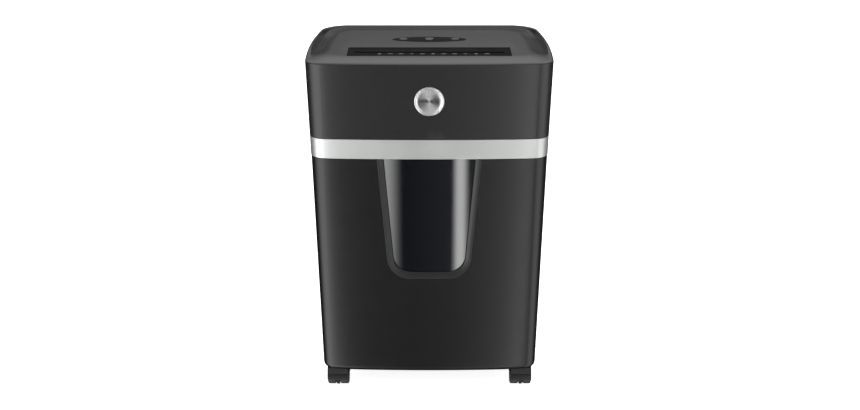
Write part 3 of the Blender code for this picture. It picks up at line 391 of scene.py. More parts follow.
# ---- Materials -------------------------------------------------------------------------------
class Paint:
    """A node material under construction: its shader, and shorthand for nodes and links."""

    def __init__(self, name, colour, roughness, metallic=0.0, **values):
        self.material = bpy.data.materials.new(name)
        self.material.use_nodes = True
        self.tree = self.material.node_tree
        self.shader = self.tree.nodes["Principled BSDF"]
        self.set(self.shader, **{"Base Color": (*colour, 1.0), "Roughness": roughness, "Metallic": metallic})
        self.set(self.shader, **{key.replace("_", " "): value for key, value in values.items()})
        self.place = self.tree.nodes.new("ShaderNodeTexCoord").outputs["Object"]

    def set(self, node, **values):
        for key, value in values.items():
            node.inputs[key].default_value = value
        return node

    def node(self, kind, **settings):
        made = self.tree.nodes.new(kind)
        for key, value in settings.items():
            setattr(made, key, value)
        return made

    def link(self, output, target):
        self.tree.links.new(output, target)

    def stretched(self, scale):
        """Object coordinates scaled per axis, in cycles per metre."""
        mapping = self.node("ShaderNodeMapping")
        mapping.inputs["Scale"].default_value = scale
        self.link(self.place, mapping.inputs["Vector"])
        return mapping.outputs["Vector"]

    def noise(self, scale, detail=2.0, roughness=0.5, vector=None):
        """Noise whose features are about 1 / scale metres across."""
        made = self.node("ShaderNodeTexNoise")
        self.set(made, Scale=scale, Detail=detail, Roughness=roughness)
        self.link(vector or self.place, made.inputs["Vector"])
        return made.outputs["Fac"]

    def remap(self, value, low, high, to_low, to_high):
        made = self.node("ShaderNodeMapRange")
        made.inputs["From Min"].default_value = low
        made.inputs["From Max"].default_value = high
        made.inputs["To Min"].default_value = to_low
        made.inputs["To Max"].default_value = to_high
        self.link(value, made.inputs["Value"])
        return made.outputs["Result"]

    def blend(self, share, first, second):
        """Colour between two colours or outputs."""
        made = self.node("ShaderNodeMix", data_type="RGBA")
        self.link(share, made.inputs["Factor"])
        for value, socket in ((first, made.inputs["A"]), (second, made.inputs["B"])):
            if isinstance(value, tuple):
                socket.default_value = (*value, 1.0)
            else:
                self.link(value, socket)
        return made.outputs["Result"]

    def bump(self, height, distance, strength=1.0, under=None):
        made = self.node("ShaderNodeBump")
        made.inputs["Distance"].default_value = distance
        made.inputs["Strength"].default_value = strength
        self.link(height, made.inputs["Height"])
        if under is not None:
            self.link(under, made.inputs["Normal"])
        return made.outputs["Normal"]

    def colour(self, output):
        self.link(output, self.shader.inputs["Base Color"])

    def roughness(self, output):
        self.link(output, self.shader.inputs["Roughness"])

    def normal(self, output):
        self.link(output, self.shader.inputs["Normal"])

    def edges(self, low=0.52, high=0.62):
        """Share that rises on convex edges, for wear."""
        geometry = self.node("ShaderNodeNewGeometry")
        return self.remap(geometry.outputs["Pointiness"], low, high, 0.0, 1.0)


def moulded(name, colour, roughness, grain=1500.0, depth=0.00004, wear=1.35, **values):
    """Spark-eroded moulded plastic: fine grain, handling marks and paler edges."""
    paint = Paint(name, colour, roughness, **values)
    grain_noise = paint.noise(grain, 3.0, 0.6)
    mottle = paint.noise(45.0, 4.0, 0.55)
    darker = tuple(c * 0.86 for c in colour)
    lighter = tuple(c * 1.12 for c in colour)
    worn = tuple(min(c * wear + 0.004, 1.0) for c in colour)
    speckle = paint.blend(paint.remap(grain_noise, 0.35, 0.65, 0.0, 1.0), darker, lighter)
    paint.colour(paint.blend(paint.edges(), speckle, worn))
    paint.roughness(paint.remap(mottle, 0.3, 0.7, roughness - 0.010, roughness + 0.012))
    fine = paint.bump(grain_noise, depth, 0.45)
    paint.normal(paint.bump(paint.noise(35.0, 2.0), 0.00005, 0.10, fine))
    return paint.material


def glossy(name, colour, roughness, **values):
    """Polished plastic with faint flow marks and dust."""
    paint = Paint(name, colour, roughness, **values)
    dust = paint.noise(900.0, 2.0, 0.7)
    smear = paint.noise(26.0, 5.0, 0.6)
    dusty = tuple(c * 1.8 + 0.006 for c in colour)
    paint.colour(paint.blend(paint.remap(dust, 0.66, 0.80, 0.0, 0.5), colour, dusty))
    paint.roughness(paint.remap(smear, 0.35, 0.7, roughness * 0.8, roughness * 1.5))
    paint.normal(paint.bump(paint.noise(14.0, 1.0), 0.0003, 0.12))
    return paint.material


def brushed(name, colour, roughness, along, depth=0.00002, **values):
    """Metal or metallic paint with fine lines along one axis."""
    paint = Paint(name, colour, roughness, **values)
    scale = tuple(25.0 if axis == along else 3200.0 for axis in "XYZ")
    lines = paint.noise(1.0, 3.0, 0.6, paint.stretched(scale))
    mottle = paint.noise(30.0, 3.0)
    low = tuple(c * 0.88 for c in colour)
    high = tuple(min(c * 1.08, 1.0) for c in colour)
    paint.colour(paint.blend(paint.remap(lines, 0.3, 0.7, 0.0, 1.0), low, high))
    paint.roughness(paint.remap(mottle, 0.3, 0.7, roughness - 0.05, roughness + 0.07))
    paint.normal(paint.bump(lines, depth, 0.5))
    return paint.material


def flaked(name, colour, roughness, **values):
    """Metallic lacquer: tiny bright flakes under a satin coat."""
    paint = Paint(name, colour, roughness, **values)
    flakes = paint.node("ShaderNodeTexVoronoi")
    flakes.inputs["Scale"].default_value = 3500.0
    paint.link(paint.place, flakes.inputs["Vector"])
    spark = paint.node("ShaderNodeSeparateColor")
    paint.link(flakes.outputs["Color"], spark.inputs["Color"])
    low = tuple(c * 0.90 for c in colour)
    high = tuple(min(c * 1.10, 1.0) for c in colour)
    paint.colour(paint.blend(spark.outputs["Red"], low, high))
    paint.roughness(paint.remap(paint.noise(22.0, 4.0), 0.3, 0.7, roughness - 0.04, roughness + 0.05))
    paint.normal(paint.bump(spark.outputs["Green"], 0.00001, 0.35))
    return paint.material


def spun(name, colour, roughness, centre, axis_turn):
    """Disc with turning marks round its centre and a silky sheen."""
    paint = Paint(name, colour, roughness, 1.0, Anisotropic=0.75)
    mapping = paint.node("ShaderNodeMapping", vector_type="TEXTURE")
    mapping.inputs["Location"].default_value = centre
    mapping.inputs["Rotation"].default_value = axis_turn
    paint.link(paint.place, mapping.inputs["Vector"])
    waves = paint.node("ShaderNodeTexWave", wave_type="RINGS", rings_direction="Z")
    waves.inputs["Scale"].default_value = 420.0
    waves.inputs["Distortion"].default_value = 0.2
    waves.inputs["Detail"].default_value = 1.0
    paint.link(mapping.outputs["Vector"], waves.inputs["Vector"])
    rings = waves.outputs["Fac"]
    low = tuple(c * 0.85 for c in colour)
    paint.colour(paint.blend(rings, low, colour))
    paint.roughness(paint.remap(paint.noise(60.0, 2.0), 0.3, 0.7, roughness - 0.02, roughness + 0.03))
    paint.normal(paint.bump(rings, 0.000004, 0.12))
    tangent = paint.node("ShaderNodeTangent", direction_type="RADIAL", axis="Y")
    paint.link(tangent.outputs["Tangent"], paint.shader.inputs["Tangent"])
    return paint.material


def circuit(name):
    """Green solder mask with paler copper tracks under it."""
    paint = Paint(name, (0.012, 0.085, 0.035), 0.35, Coat_Weight=0.4, Coat_Roughness=0.2)
    tracks = paint.node("ShaderNodeTexBrick")
    paint.set(tracks, **{"Scale": 150.0, "Mortar Size": 0.035, "Brick Width": 0.9, "Row Height": 0.35})
    paint.link(paint.place, tracks.inputs["Vector"])
    speck = paint.noise(700.0, 2.0)
    base = paint.blend(tracks.outputs["Fac"], (0.012, 0.085, 0.035), (0.060, 0.240, 0.100))
    paint.colour(paint.blend(paint.remap(speck, 0.62, 0.70, 0.0, 0.6), base, (0.45, 0.42, 0.35)))
    paint.normal(paint.bump(tracks.outputs["Fac"], 0.00004, 0.6))
    return paint.material


HEAD_BLACK = moulded("head_black", (0.0145, 0.0145, 0.0148), 0.25, 1300.0, 0.00002, Specular_IOR_Level=0.36)
BIN_BLACK = moulded("bin_black", (0.0060, 0.0060, 0.0063), 0.25, 1200.0, 0.00002, Specular_IOR_Level=0.36)
DECK_GREY = moulded("deck_grey", (0.0200, 0.0200, 0.0191), 0.26, 1500.0, 0.00003)
INNER_BLACK = moulded("inner_black", (0.0200, 0.0200, 0.0200), 0.55, 900.0)
CASTER_BLACK = moulded("caster_black", (0.0075, 0.0080, 0.0090), 0.40, 1800.0, Specular_IOR_Level=0.35)
TREAD = moulded("tread", (0.0170, 0.0175, 0.0190), 0.55, 700.0, 0.00008)
# Black plastic with a near-zero specular level, which is painted shade: the feed guide reflects almost
# nothing, standing in for the shade inside the feed recess.
THROAT_BLACK_PAINTED_SHADE = glossy("throat_black_painted_shade", (0.0080, 0.0080, 0.0083), 0.45, Specular_IOR_Level=0.01)
CONSOLE_BLACK = moulded(
    "console_black", (0.0040, 0.0040, 0.0040), 0.48, 1800.0, 0.00002, Specular_IOR_Level=0.03
)
BEZEL_BLACK = moulded("bezel_black", (0.0105, 0.0112, 0.0112), 0.36, 1500.0, 0.00002, Specular_IOR_Level=0.36)
KEY_BLACK = moulded("key_black", (0.0220, 0.0220, 0.0214), 0.40, 1600.0)
PANE = glossy("smoked_pane", (0.0035, 0.0042, 0.0060), 0.06, Coat_Weight=0.8, Coat_Roughness=0.03)
BAND_SILVER = flaked("band_silver", (0.48, 0.491, 0.482), 0.36, metallic=0.75)
MARK_GREY = moulded("mark_grey", (0.075, 0.075, 0.075), 0.55, 2000.0, 0.00001, Specular_IOR_Level=0.2)
BRIGHT_TRIM = brushed("bright_trim", (0.60, 0.60, 0.60), 0.28, "X", metallic=1.0)
STEEL = brushed("plate_steel", (0.42, 0.42, 0.43), 0.34, "Z", metallic=1.0)
SHAFT_STEEL = brushed("shaft_steel", (0.40, 0.40, 0.41), 0.30, "Y", metallic=1.0)
NYLON = moulded("nylon", (0.68, 0.66, 0.60), 0.45, 1100.0, 0.00004, 1.05, Subsurface_Weight=0.08)
LACQUER = flaked("motor_lacquer", (0.070, 0.072, 0.075), 0.42, metallic=0.6)
BOARD = circuit("circuit_board")


# ---- Bin -------------------------------------------------------------------------------------
def make_bin():
    steps = 10
    outer = []
    for step in range(steps + 1):
        angle = pi / 2 * step / steps
        z = BIN_FLOOR_Z + BIN_EDGE_RADIUS * (1 - cos(angle))
        outer.append(plan_outline(bin_inset(z) + BIN_EDGE_RADIUS * (1 - sin(angle)), z))
    top = outer[-1][0].z
    for share in (0.1, 0.2, 0.3, 0.4, 0.5, 0.6, 0.7, 0.8, 0.9, 1.0):
        z = top + (BIN_RIM_Z - top) * share
        outer.append(plan_outline(bin_inset(z), z))
    inner = [plan_outline(BIN_RIM_INSET + WALL, BIN_RIM_Z)]
    for step in range(4, -1, -1):
        angle = pi / 2 * step / 4
        z = BIN_FLOOR_Z + WALL + BIN_EDGE_RADIUS * (1 - cos(angle))
        inner.append(plan_outline(bin_inset(z) + WALL + BIN_EDGE_RADIUS * (1 - sin(angle)), z))
    bucket = loft("bin_body", outer + inner)
    half_top = BEZEL_HIGH.x + GAP
    opening = window_outline(half_top, BEZEL_LOW.z - GAP, BEZEL_CORNER + GAP, BIN_RIM_Z + 0.01)
    rings = [[Vector((x, y, z)) for x, z in opening] for y in (FRONT_Y - 0.01, FRONT_Y + 0.030)]
    boolean(bucket, loft("window_cut", rings))
    for name in CASTER_NAMES:
        x, y = caster_stem(name)
        place = Matrix.Translation((x, y, 0))
        boss = cylinder("boss", BOSS_RADIUS, BIN_FLOOR_Z + WALL / 2, BOSS_TOP_Z, place, 32)
        boolean(bucket, boss, "UNION")
        boolean(bucket, cylinder("socket", SOCKET_RADIUS, BIN_FLOOR_Z - 0.01, SOCKET_TOP_Z, place, 32))
    soften(bucket, 0.0007)
    dress(bucket, BIN_BLACK, "bin", "bin_bucket")


def make_window_frame():
    """Bezel whose face dips from the bin's surface to the pane, with a rolled outer lip."""
    outer = window_outline(BEZEL_HIGH.x, BEZEL_LOW.z, BEZEL_CORNER, BIN_RIM_Z)
    inner = window_outline(PANE_HIGH.x + GAP, PANE_LOW.z - GAP, PANE_CORNER + GAP, BIN_RIM_Z)
    profile = (
        (0.00, 0.0002), (0.03, 0.0000), (0.12, 0.0000), (0.40, 0.0005), (0.75, 0.0013),
        (0.86, 0.0018), (0.93, 0.0027), (1.00, 0.0056), (1.00, BEZEL_DEPTH), (0.00, BEZEL_DEPTH),
    )
    sections = []
    for (outer_x, outer_z), (inner_x, inner_z) in zip(outer, inner):
        section = []
        for share, depth in profile:
            x = outer_x + (inner_x - outer_x) * share
            z = outer_z + (inner_z - outer_z) * share
            section.append(Vector((x, bin_front_y(x, z) + depth, z)))
        sections.append(section)
    bezel = loft("window_frame", sections)
    soften(bezel, 0.0003, 2, 40)
    dress(bezel, BEZEL_BLACK, "bin", "window_bezel")


def make_pane():
    """Smoked pane, bowed forward across its width."""
    half = PANE_HIGH.x
    columns = [half * (-1 + 2 * i / 64) for i in range(65)]

    def section(z):
        front = []
        for x in columns:
            bulge = PANE_BULGE * (1 - (x / half) ** 2)
            front.append(Vector((x, bin_front_y(0, z) + PANE_SET_BACK - bulge, z)))
        return front + [Vector((p.x, p.y + PANE_THICKNESS, z)) for p in reversed(front)]

    slab = loft("window_lens", [section(PANE_LOW.z - 0.01), section(BIN_RIM_Z)])
    outline = window_outline(half, PANE_LOW.z, PANE_CORNER, BIN_RIM_Z + 0.01)
    rings = [[Vector((x, y, z)) for x, z in outline] for y in (FRONT_Y - 0.02, FRONT_Y + 0.04)]
    boolean(slab, loft("lens_outline", rings), "INTERSECT")
    soften(slab, 0.0004, 2, 40)
    dress(slab, PANE, "bin", "window_pane")


# ---- Casters ---------------------------------------------------------------------------------
def caster_stem(name):
    """Stem axis of a caster, from its swivel joint in the record."""
    for joint in frame["record"]["behaviour"]["joints"]:
        if joint["name"] == "caster_" + name + "_swivel":
            return joint["pos_m"][0], joint["pos_m"][1]
    raise KeyError(name)


def make_caster(name):
    """Hood on its stem, with a web between the two wheels."""
    low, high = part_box("caster_" + name + "_hood")
    left_low, left_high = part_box("caster_" + name + "_wheel_left")
    radius = (left_high.z - left_low.z) / 2
    axle_y = (left_high.y + left_low.y) / 2
    axle_z = (left_high.z + left_low.z) / 2
    x, y = caster_stem(name)
    along_x = Matrix(((0, 0, 1, 0), (1, 0, 0, 0), (0, 1, 0, 0), (0, 0, 0, 1)))
    axle = Matrix.Translation((0, axle_y, axle_z)) @ along_x
    half = (high.x - low.x) / 2
    outer = HOOD_RADIUS
    inner = radius + HOOD_CLEARANCE
    web = WEB_HALF_WIDTH
    here = Matrix.Translation((x, 0, 0)) @ axle

    profile = [(inner, -half + 0.0002), (inner, half - 0.0002), (inner + 0.0004, half)]
    profile += [(outer - 0.0008, half), (outer - 0.0002, half - 0.0006), (outer, half - 0.0024)]
    profile += [(r, -h) for r, h in reversed(profile[2:])]
    hood = turned("hood_" + name, profile, here, 72)
    below_high = (x + 0.03, axle_y + 0.03, radius - HOOD_OPENING)
    boolean(hood, box("below", (x - 0.03, axle_y - 0.03, -0.01), below_high))
    brow_low = (x - BROW_HALF_WIDTH, y - BROW_REACH, BROW_BASE_Z)
    brow = box("brow", brow_low, (x + BROW_HALF_WIDTH, axle_y, NECK_TOP_Z))
    for side in (-1, 1):
        near, far = sorted((x + side * web, x + side * (half + 0.01)))
        boolean(brow, cylinder("space", inner, near, far, axle, 72))
    section = [(AXLE_BORE, web), (AXLE_BORE, -web), (inner, -web), (inner, web)]
    disc = turned("disc", section, here, 72)
    boolean(disc, box("ground", (x - 0.01, axle_y - 0.03, -0.01), (x + 0.01, axle_y + 0.03, WEB_BASE_Z)))
    stem = cylinder("stem", STEM_RADIUS, NECK_TOP_Z - 0.001, high.z, Matrix.Translation((x, y, 0)), 32)
    for piece in (brow, disc, stem):
        join(hood, piece)
    soften(hood, 0.0005, 2)
    dress(hood, CASTER_BLACK, "caster_" + name, "caster_" + name + "_hood")

    for side, word in ((-1, "left"), (1, "right")):
        node = "caster_" + name + "_wheel_" + word
        wheel_low, wheel_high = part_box(node)
        middle = (wheel_low.x + wheel_high.x) / 2
        width = (wheel_high.x - wheel_low.x) / 2
        out = side * width
        profile = [
            (AXLE_BORE, out), (0.0062, out), (0.0068, out - side * 0.0008), (0.0085, out - side * 0.0022),
            (0.0132, out - side * 0.0024), (0.0144, out - side * 0.0010), (0.0152, out),
            (radius - 0.0022, out), (radius - 0.0006, out - side * 0.0010), (radius, out - side * 0.0026),
            (radius, -out + side * 0.0026), (radius - 0.0006, -out + side * 0.0010),
            (radius - 0.0022, -out), (AXLE_BORE, -out),
        ]
        there = Matrix.Translation((middle, 0, 0)) @ axle
        wheel = turned("wheel_" + name + "_" + word, profile, there, 64)
        soften(wheel, 0.0003, 2)
        dress(wheel, TREAD, "caster_" + name + "_" + word, node)


# ---- Head: casing ----------------------------------------------------------------------------
def make_head_casing():
    top = SHELL_HIGH.z
    low = SHELL_LOW.z
    neck = BAND_BASE_INSET + NECK_SET_BACK
    step_z = BAND_TOP_Z + 0.0008
    outer = []
    for share in (0.0, 0.12, 0.25, 0.4, 0.55, 0.7, 0.85, 1.0):
        z = top + (step_z - top) * share
        outer.append(plan_outline(head_inset(z), z))
    casing = loft("head_casing", outer + [
        plan_outline(neck, step_z),
        plan_outline(neck, low),
        plan_outline(neck + NECK_WALL, low),
        plan_outline(neck + NECK_WALL, BAND_TOP_Z + 0.0010),
        plan_outline(head_inset(BAND_TOP_Z + 0.0080) + WALL, BAND_TOP_Z + 0.0080),
        plan_outline(WALL, top),
    ], capped=False)
    back = BODY_HIGH.y
    rocker_low, rocker_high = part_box("mains_rocker")
    edge = 0.0020
    window_low = (rocker_low.x - edge, back - 0.030, rocker_low.z - edge / 2)
    window_high = (rocker_high.x + edge, back + 0.010, rocker_high.z + edge / 2)
    boolean(casing, box("switch_window", window_low, window_high))
    gland_low, gland_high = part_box("cord_gland")
    gland = (gland_low + gland_high) / 2
    outward = Matrix.Translation((gland.x, 0, gland.z)) @ Matrix.Rotation(-pi / 2, 4, "X")
    boolean(casing, cylinder("gland_hole", GLAND_HOLE_RADIUS, back - 0.03, back + 0.01, outward, 40))
    soften(casing, 0.0008)
    dress(casing, HEAD_BLACK, "head", "head_shell")


def make_trim_band():
    inner = BAND_BASE_INSET + BAND_THICKNESS
    rings = []
    for share in (0.0, 0.25, 0.5, 0.75, 1.0):
        z = BAND_TOP_Z + (BAND_BASE_Z - BAND_TOP_Z) * share
        rings.append(plan_outline(BAND_TOP_INSET + 0.0010 * share, z))
    band = loft("trim_band", rings + [
        plan_outline(inner, BAND_BASE_Z),
        plan_outline(inner, BAND_TOP_Z),
    ], capped=False)
    soften(band, 0.0005)
    dress(band, BAND_SILVER, "head", "silver_band")


def quarter_round(inset, radius):
    """Quarter-round rise from 0 at the outer edge to 1 at radius in."""
    share = min(inset / radius, 1.0)
    return (1 - (1 - share) ** 2) ** 0.5


def deck_height(inset, point):
    """Height of the deck's skin: a soft lip in front, a raised rim with scoops round the rest."""
    rise = (DECK_Z - SEAM_Z - LIP_RISE) * smooth_step(inset, LIP_START, LIP_END)
    front = SEAM_Z + LIP_RISE + rise
    edge = quarter_round(inset, EDGE_ROUND)
    front = SEAM_Z + (front - SEAM_Z) * min(edge * 1.05, 1.0)
    crown = RIM_TOP_Z - (RIM_TOP_Z - DECK_Z + DISH) * smooth_step(inset, RIM_CREST, RIM_FOOT)
    crown += DISH * smooth_step(inset, DISH_START, DISH_END)
    rim = SEAM_Z + (crown - SEAM_Z) * edge
    rim_share = smooth_step(point.y, -0.115, -0.020)
    along = smooth_step(point.y, -0.080, -0.030) * (1 - smooth_step(point.y, 0.065, 0.112))
    side_share = smooth_step(abs(point.x), 0.115, 0.140)
    slope = 1 - min(max((inset - RIM_FOOT) / SCOOP_WIDTH, 0.0), 1.0)
    scoop = SCOOP_DEPTH * smooth_step(inset, RIM_CREST, RIM_FOOT) * slope
    return front + (rim - front) * rim_share - scoop * along * side_share


def make_deck():
    skin = []
    for inset in DECK_INSETS:
        ring = plan_outline(inset)
        for point in ring:
            point.z = deck_height(inset, point)
        skin.append(ring)
    underside = SEAM_Z - 0.0040
    under = [
        plan_outline(0.0400, DECK_Z - 0.0035),
        plan_outline(0.0280, underside),
        plan_outline(0.0062, underside),
        plan_outline(0.0060, SEAM_Z - 0.0060),
        plan_outline(0.0040, SEAM_Z - 0.0060),
        plan_outline(0.0034, SEAM_Z),
    ]
    deck = loft("deck", skin[::-1] + under[::-1])
    edge = 0.0004
    low = (THROAT_LOW.x - edge, THROAT_LOW.y - edge, SEAM_Z - 0.02)
    high = (THROAT_HIGH.x + edge, THROAT_HIGH.y + edge, RIM_TOP_Z + 0.01)
    boolean(deck, box("feed", low, high))
    hole = loft("console_hole", [console_ring(GAP, SEAM_Z - 0.02), console_ring(GAP, RIM_TOP_Z + 0.01)])
    boolean(deck, hole)
    soften(deck, 0.0006, 3, 40)
    dress(deck, DECK_GREY, "head", "top_cover")


def console_ring(grow, z, steps=120):
    """Long oval outline of the console at height z, grown by a clearance."""
    half_width = (PANEL_HIGH.x - PANEL_LOW.x) / 2 / cos(pi / PANEL_SIDES)
    middle = (PANEL_LOW.y + PANEL_HIGH.y) / 2
    ring = []
    for step in range(steps):
        angle = 2 * pi * (step + 0.5) / steps
        x = (half_width + grow) * cos(angle)
        y = (PANEL_HALF_DEPTH + grow) * sin(angle) * (1 - 0.10 * abs(cos(angle)))
        ring.append(Vector((x, middle + y, z)))
    return ring


def make_badge():
    middle = (BADGE_LOW + BADGE_HIGH) / 2
    radius = (BADGE_HIGH.x - BADGE_LOW.x) / 2
    draft = atan(BAND_TOP_INSET / (SEAM_Z - BAND_TOP_Z))
    surface = FRONT_Y + head_inset(middle.z)
    place = Matrix.Translation((middle.x, surface - GAP, middle.z))
    place = place @ Matrix.Rotation(pi / 2 + draft, 4, "X")
    profile = [
        (0.0, 0.00055), (radius * 0.30, 0.00057), (radius * 0.60, 0.00063), (radius * 0.88, 0.00074),
        (radius * 0.90, 0.00058), (radius * 0.92, 0.00058), (radius * 0.94, 0.00078),
        (radius * 0.975, 0.00080), (radius, 0.00055), (radius, 0.0), (0.0, 0.0),
    ]
    badge = turned("badge", profile, place, 128)
    soften(badge, 0.00005, 2, 50)
    metal = spun("badge_metal", (0.62, 0.62, 0.62), 0.26, middle, (pi / 2, 0, 0))
    dress(badge, metal, "head", "badge_disc")


# ---- Head: feed and controls -----------------------------------------------------------------
def rectangle(half_x, low_y, high_y, z):
    corners = ((-half_x, low_y), (half_x, low_y), (half_x, high_y), (-half_x, high_y))
    return [Vector((x, y, z)) for x, y in corners]


def make_throat():
    """Feed guide: a gentle ramp to the slot, a steep back and sloping ends."""
    half = THROAT_HIGH.x
    front = THROAT_LOW.y
    back = THROAT_HIGH.y
    slot = SLOT_Y
    throat = loft("feed_guide", [
        rectangle(half, front, back, THROAT_HIGH.z),
        rectangle(half, front, back, DECK_Z - 0.0110),
        rectangle(half - 0.0075, slot - 0.0140, slot + 0.0120, DECK_Z - 0.0290),
        rectangle(half - 0.0090, slot - 0.0066, slot + 0.0066, THROAT_LOW.z),
    ])
    low_y = slot - SLOT_HALF_DEPTH
    high_y = slot + SLOT_HALF_DEPTH
    lip_z = DECK_Z - RAMP_FOOT_DROP
    boolean(throat, loft("mouth", [
        rectangle(half - 0.0002, front + 0.0006, back - 0.0006, DECK_Z + 0.0010),
        rectangle(half - 0.0006, front + 0.0010, back - 0.0010, DECK_Z - RAMP_EDGE_DROP),
        rectangle(0.1190, low_y, high_y, lip_z),
        rectangle(SLOT_HALF_WIDTH, low_y, high_y, lip_z - 0.0010),
        rectangle(SLOT_HALF_WIDTH, low_y, high_y, THROAT_LOW.z - 0.01),
    ]))
    lever_low, lever_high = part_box("start_lever")
    axis_y = lever_high.y - 0.0030
    axis_z = (lever_low.z + lever_high.z) / 2
    notch_high = (0.0065, axis_y + 0.0120, axis_z + 0.0055)
    boolean(throat, box("notch", (-0.0065, slot, axis_z - 0.0190), notch_high))
    soften(throat, 0.0005, 3, 30)
    dress(throat, THROAT_BLACK_PAINTED_SHADE, "head", "feed_throat")


def ramp_height(y):
    """Height of the feed ramp's surface at y."""
    start_y = THROAT_LOW.y + 0.0010
    share = (y - start_y) / (SLOT_Y - SLOT_HALF_DEPTH - start_y)
    return DECK_Z - RAMP_EDGE_DROP - (RAMP_FOOT_DROP - RAMP_EDGE_DROP) * share


def flat_mark(name, outline, x, y):
    """Thin printed mark on the feed ramp, made as one raised outline."""
    bm = bmesh.new()
    corners = [bm.verts.new((x + u, y + v, ramp_height(y + v) + 0.00012)) for u, v in outline]
    bm.faces.new(corners)
    mark = object_from_bmesh(name, bm)
    solid = mark.modifiers.new("ink", "SOLIDIFY")
    solid.thickness = 0.0001
    solid.offset = -1
    bake(mark)
    return mark


def regular(sides, radius):
    angles = [2 * pi * side / sides for side in range(sides)]
    return [(radius * cos(angle), radius * sin(angle)) for angle in angles]


def make_ramp_marks():
    """Row of plain pictograms for what may go in: sheets, cards and discs."""
    deep = 0.0050
    sheet = [(-0.0024, -deep), (0.0024, -deep), (0.0024, deep), (-0.0024, deep)]
    card = [(-0.0036, -deep * 0.6), (0.0036, -deep * 0.6), (0.0036, deep * 0.6), (-0.0036, deep * 0.6)]
    disc = regular(24, 0.0042)
    arrow = [(-0.0038, deep), (0.0, -deep), (0.0038, deep), (0.0, deep * 0.4)]
    stack = [sheet, card, disc, arrow, card, sheet, disc, card, arrow, sheet, disc]
    y = SLOT_Y - 0.0140
    for index, outline in enumerate(stack):
        x = -0.0780 + index * 0.0168
        mark = flat_mark("ramp_mark_%02d" % index, outline, x, y)
        dress(mark, MARK_GREY, "head", slot="deck_plastic")


def make_console():
    console = loft("console", [
        console_ring(0.0, PANEL_LOW.z),
        console_ring(0.0, DECK_Z + 0.0002),
        console_ring(-0.0004, DECK_Z + 0.0005),
        console_ring(-0.0010, DECK_Z + 0.0006),
        console_ring(-0.0030, DECK_Z + 0.0004),
        console_ring(-0.0060, DECK_Z + 0.0002),
    ])
    for name in BUTTON_NAMES:
        low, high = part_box(name)
        middle = (low + high) / 2
        place = Matrix.Translation((middle.x, middle.y, 0))
        boolean(console, cylinder("hole", BUTTON_HOLE_RADIUS, DECK_Z - 0.01, DECK_Z + 0.01, place, 48))
    soften(console, 0.0003, 2, 40)
    dress(console, CONSOLE_BLACK, "head", "control_panel")


def make_keys():
    """Dished round buttons; the middle one wears a bright ring."""
    for name in BUTTON_NAMES:
        low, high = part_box(name)
        middle = (low + high) / 2
        place = Matrix.Translation((middle.x, middle.y, 0))
        top = high.z
        profile = [
            (0.0, top - 0.0005), (0.0030, top - 0.0004), (0.0052, top - 0.0001), (0.0059, top),
            (0.0065, top - 0.0003), (0.0068, top - 0.0009), (0.0068, DECK_Z - 0.0034),
            (0.0082, DECK_Z - 0.0034), (0.0082, low.z), (0.0, low.z),
        ]
        key = turned(name + "_key", profile, place, 64)
        soften(key, 0.0001, 2, 50)
        body = name.split("_")[1] + "_button"
        dress(key, KEY_BLACK, body, name)
        if name == "button_power":
            ring_radius, ring_width, height, paint = 0.0056, 0.0007, top + 0.00004, BRIGHT_TRIM
        else:
            ring_radius, ring_width, height, paint = 0.0022, 0.0005, top - 0.00038, MARK_GREY
        profile = [
            (ring_radius, height), (ring_radius + ring_width, height),
            (ring_radius + ring_width, height - 0.0005), (ring_radius, height - 0.0005),
        ]
        ring = turned(name + "_ring", profile, place, 64)
        soften(ring, 0.00008, 2, 50)
        dress(ring, paint, body, slot="satin_silver")


# ---- Inner works -----------------------------------------------------------------------------
def dress_inner_nodes():
    """Materials and small rounds for the CAD nodes that stay."""
    paints = {
        "base_tray": INNER_BLACK,
        "gear_cover": INNER_BLACK,
        "interlock_switch": INNER_BLACK,
        "mains_rocker": CONSOLE_BLACK,
        "cord_gland": TREAD,
        "start_lever": NYLON,
        "interlock_plunger": NYLON,
        "motor_fan": NYLON,
        "final_gear": NYLON,
        "idler_gear": NYLON,
        "scraper_front": NYLON,
        "scraper_rear": NYLON,
        "motor_body": LACQUER,
        "transformer": LACQUER,
        "power_board": BOARD,
        "cutter_shaft_front": SHAFT_STEEL,
        "cutter_shaft_rear": SHAFT_STEEL,
        "sync_gear_front": SHAFT_STEEL,
        "sync_gear_rear": SHAFT_STEEL,
        "motor_rotor": SHAFT_STEEL,
        "motor_pinion": SHAFT_STEEL,
    }
    for name, node in frame["nodes"].items():
        if node.hide_render:
            continue
        paint = paints.get(name, STEEL)
        for slot in node.material_slots:
            slot.material = paint
        if not node.material_slots:
            node.data.materials.append(paint)
        bevel = node.modifiers.new("rounds", "BEVEL")
        bevel.width = 0.0003
        bevel.segments = 2
        bevel.limit_method = "ANGLE"
        bevel.angle_limit = radians(40)


# ---- Studio ----------------------------------------------------------------------------------
def make_floor():
    floor = box("floor", (-FLOOR_HALF, -FLOOR_HALF, -0.02), (FLOOR_HALF, FLOOR_HALF, 0))
    paint = Paint("floor_paper", (0.93, 0.93, 0.93), 0.8)
    paint.roughness(paint.remap(paint.noise(6.0), 0.3, 0.7, 0.75, 0.85))
    paint.set(paint.shader, **{"Emission Color": (1, 1, 1, 1), "Emission Strength": FLOOR_GLOW})
    floor.data.materials.append(paint.material)
    floor.visible_glossy = False


def area_light(name, place, aim, width, height, power):
    """Soft light that shows in no reflection: the world's soft boxes do that."""
    data = bpy.data.lights.new(name, "AREA")
    data.shape = "RECTANGLE"
    data.size = width
    data.size_y = height
    data.energy = power
    lamp = bpy.data.objects.new(name, data)
    lamp.location = place
    direction = Vector(aim) - Vector(place)
    lamp.rotation_euler = direction.to_track_quat("-Z", "Y").to_euler()
    lamp.visible_glossy = False
    lamp.visible_camera = False
    bpy.context.scene.collection.objects.link(lamp)


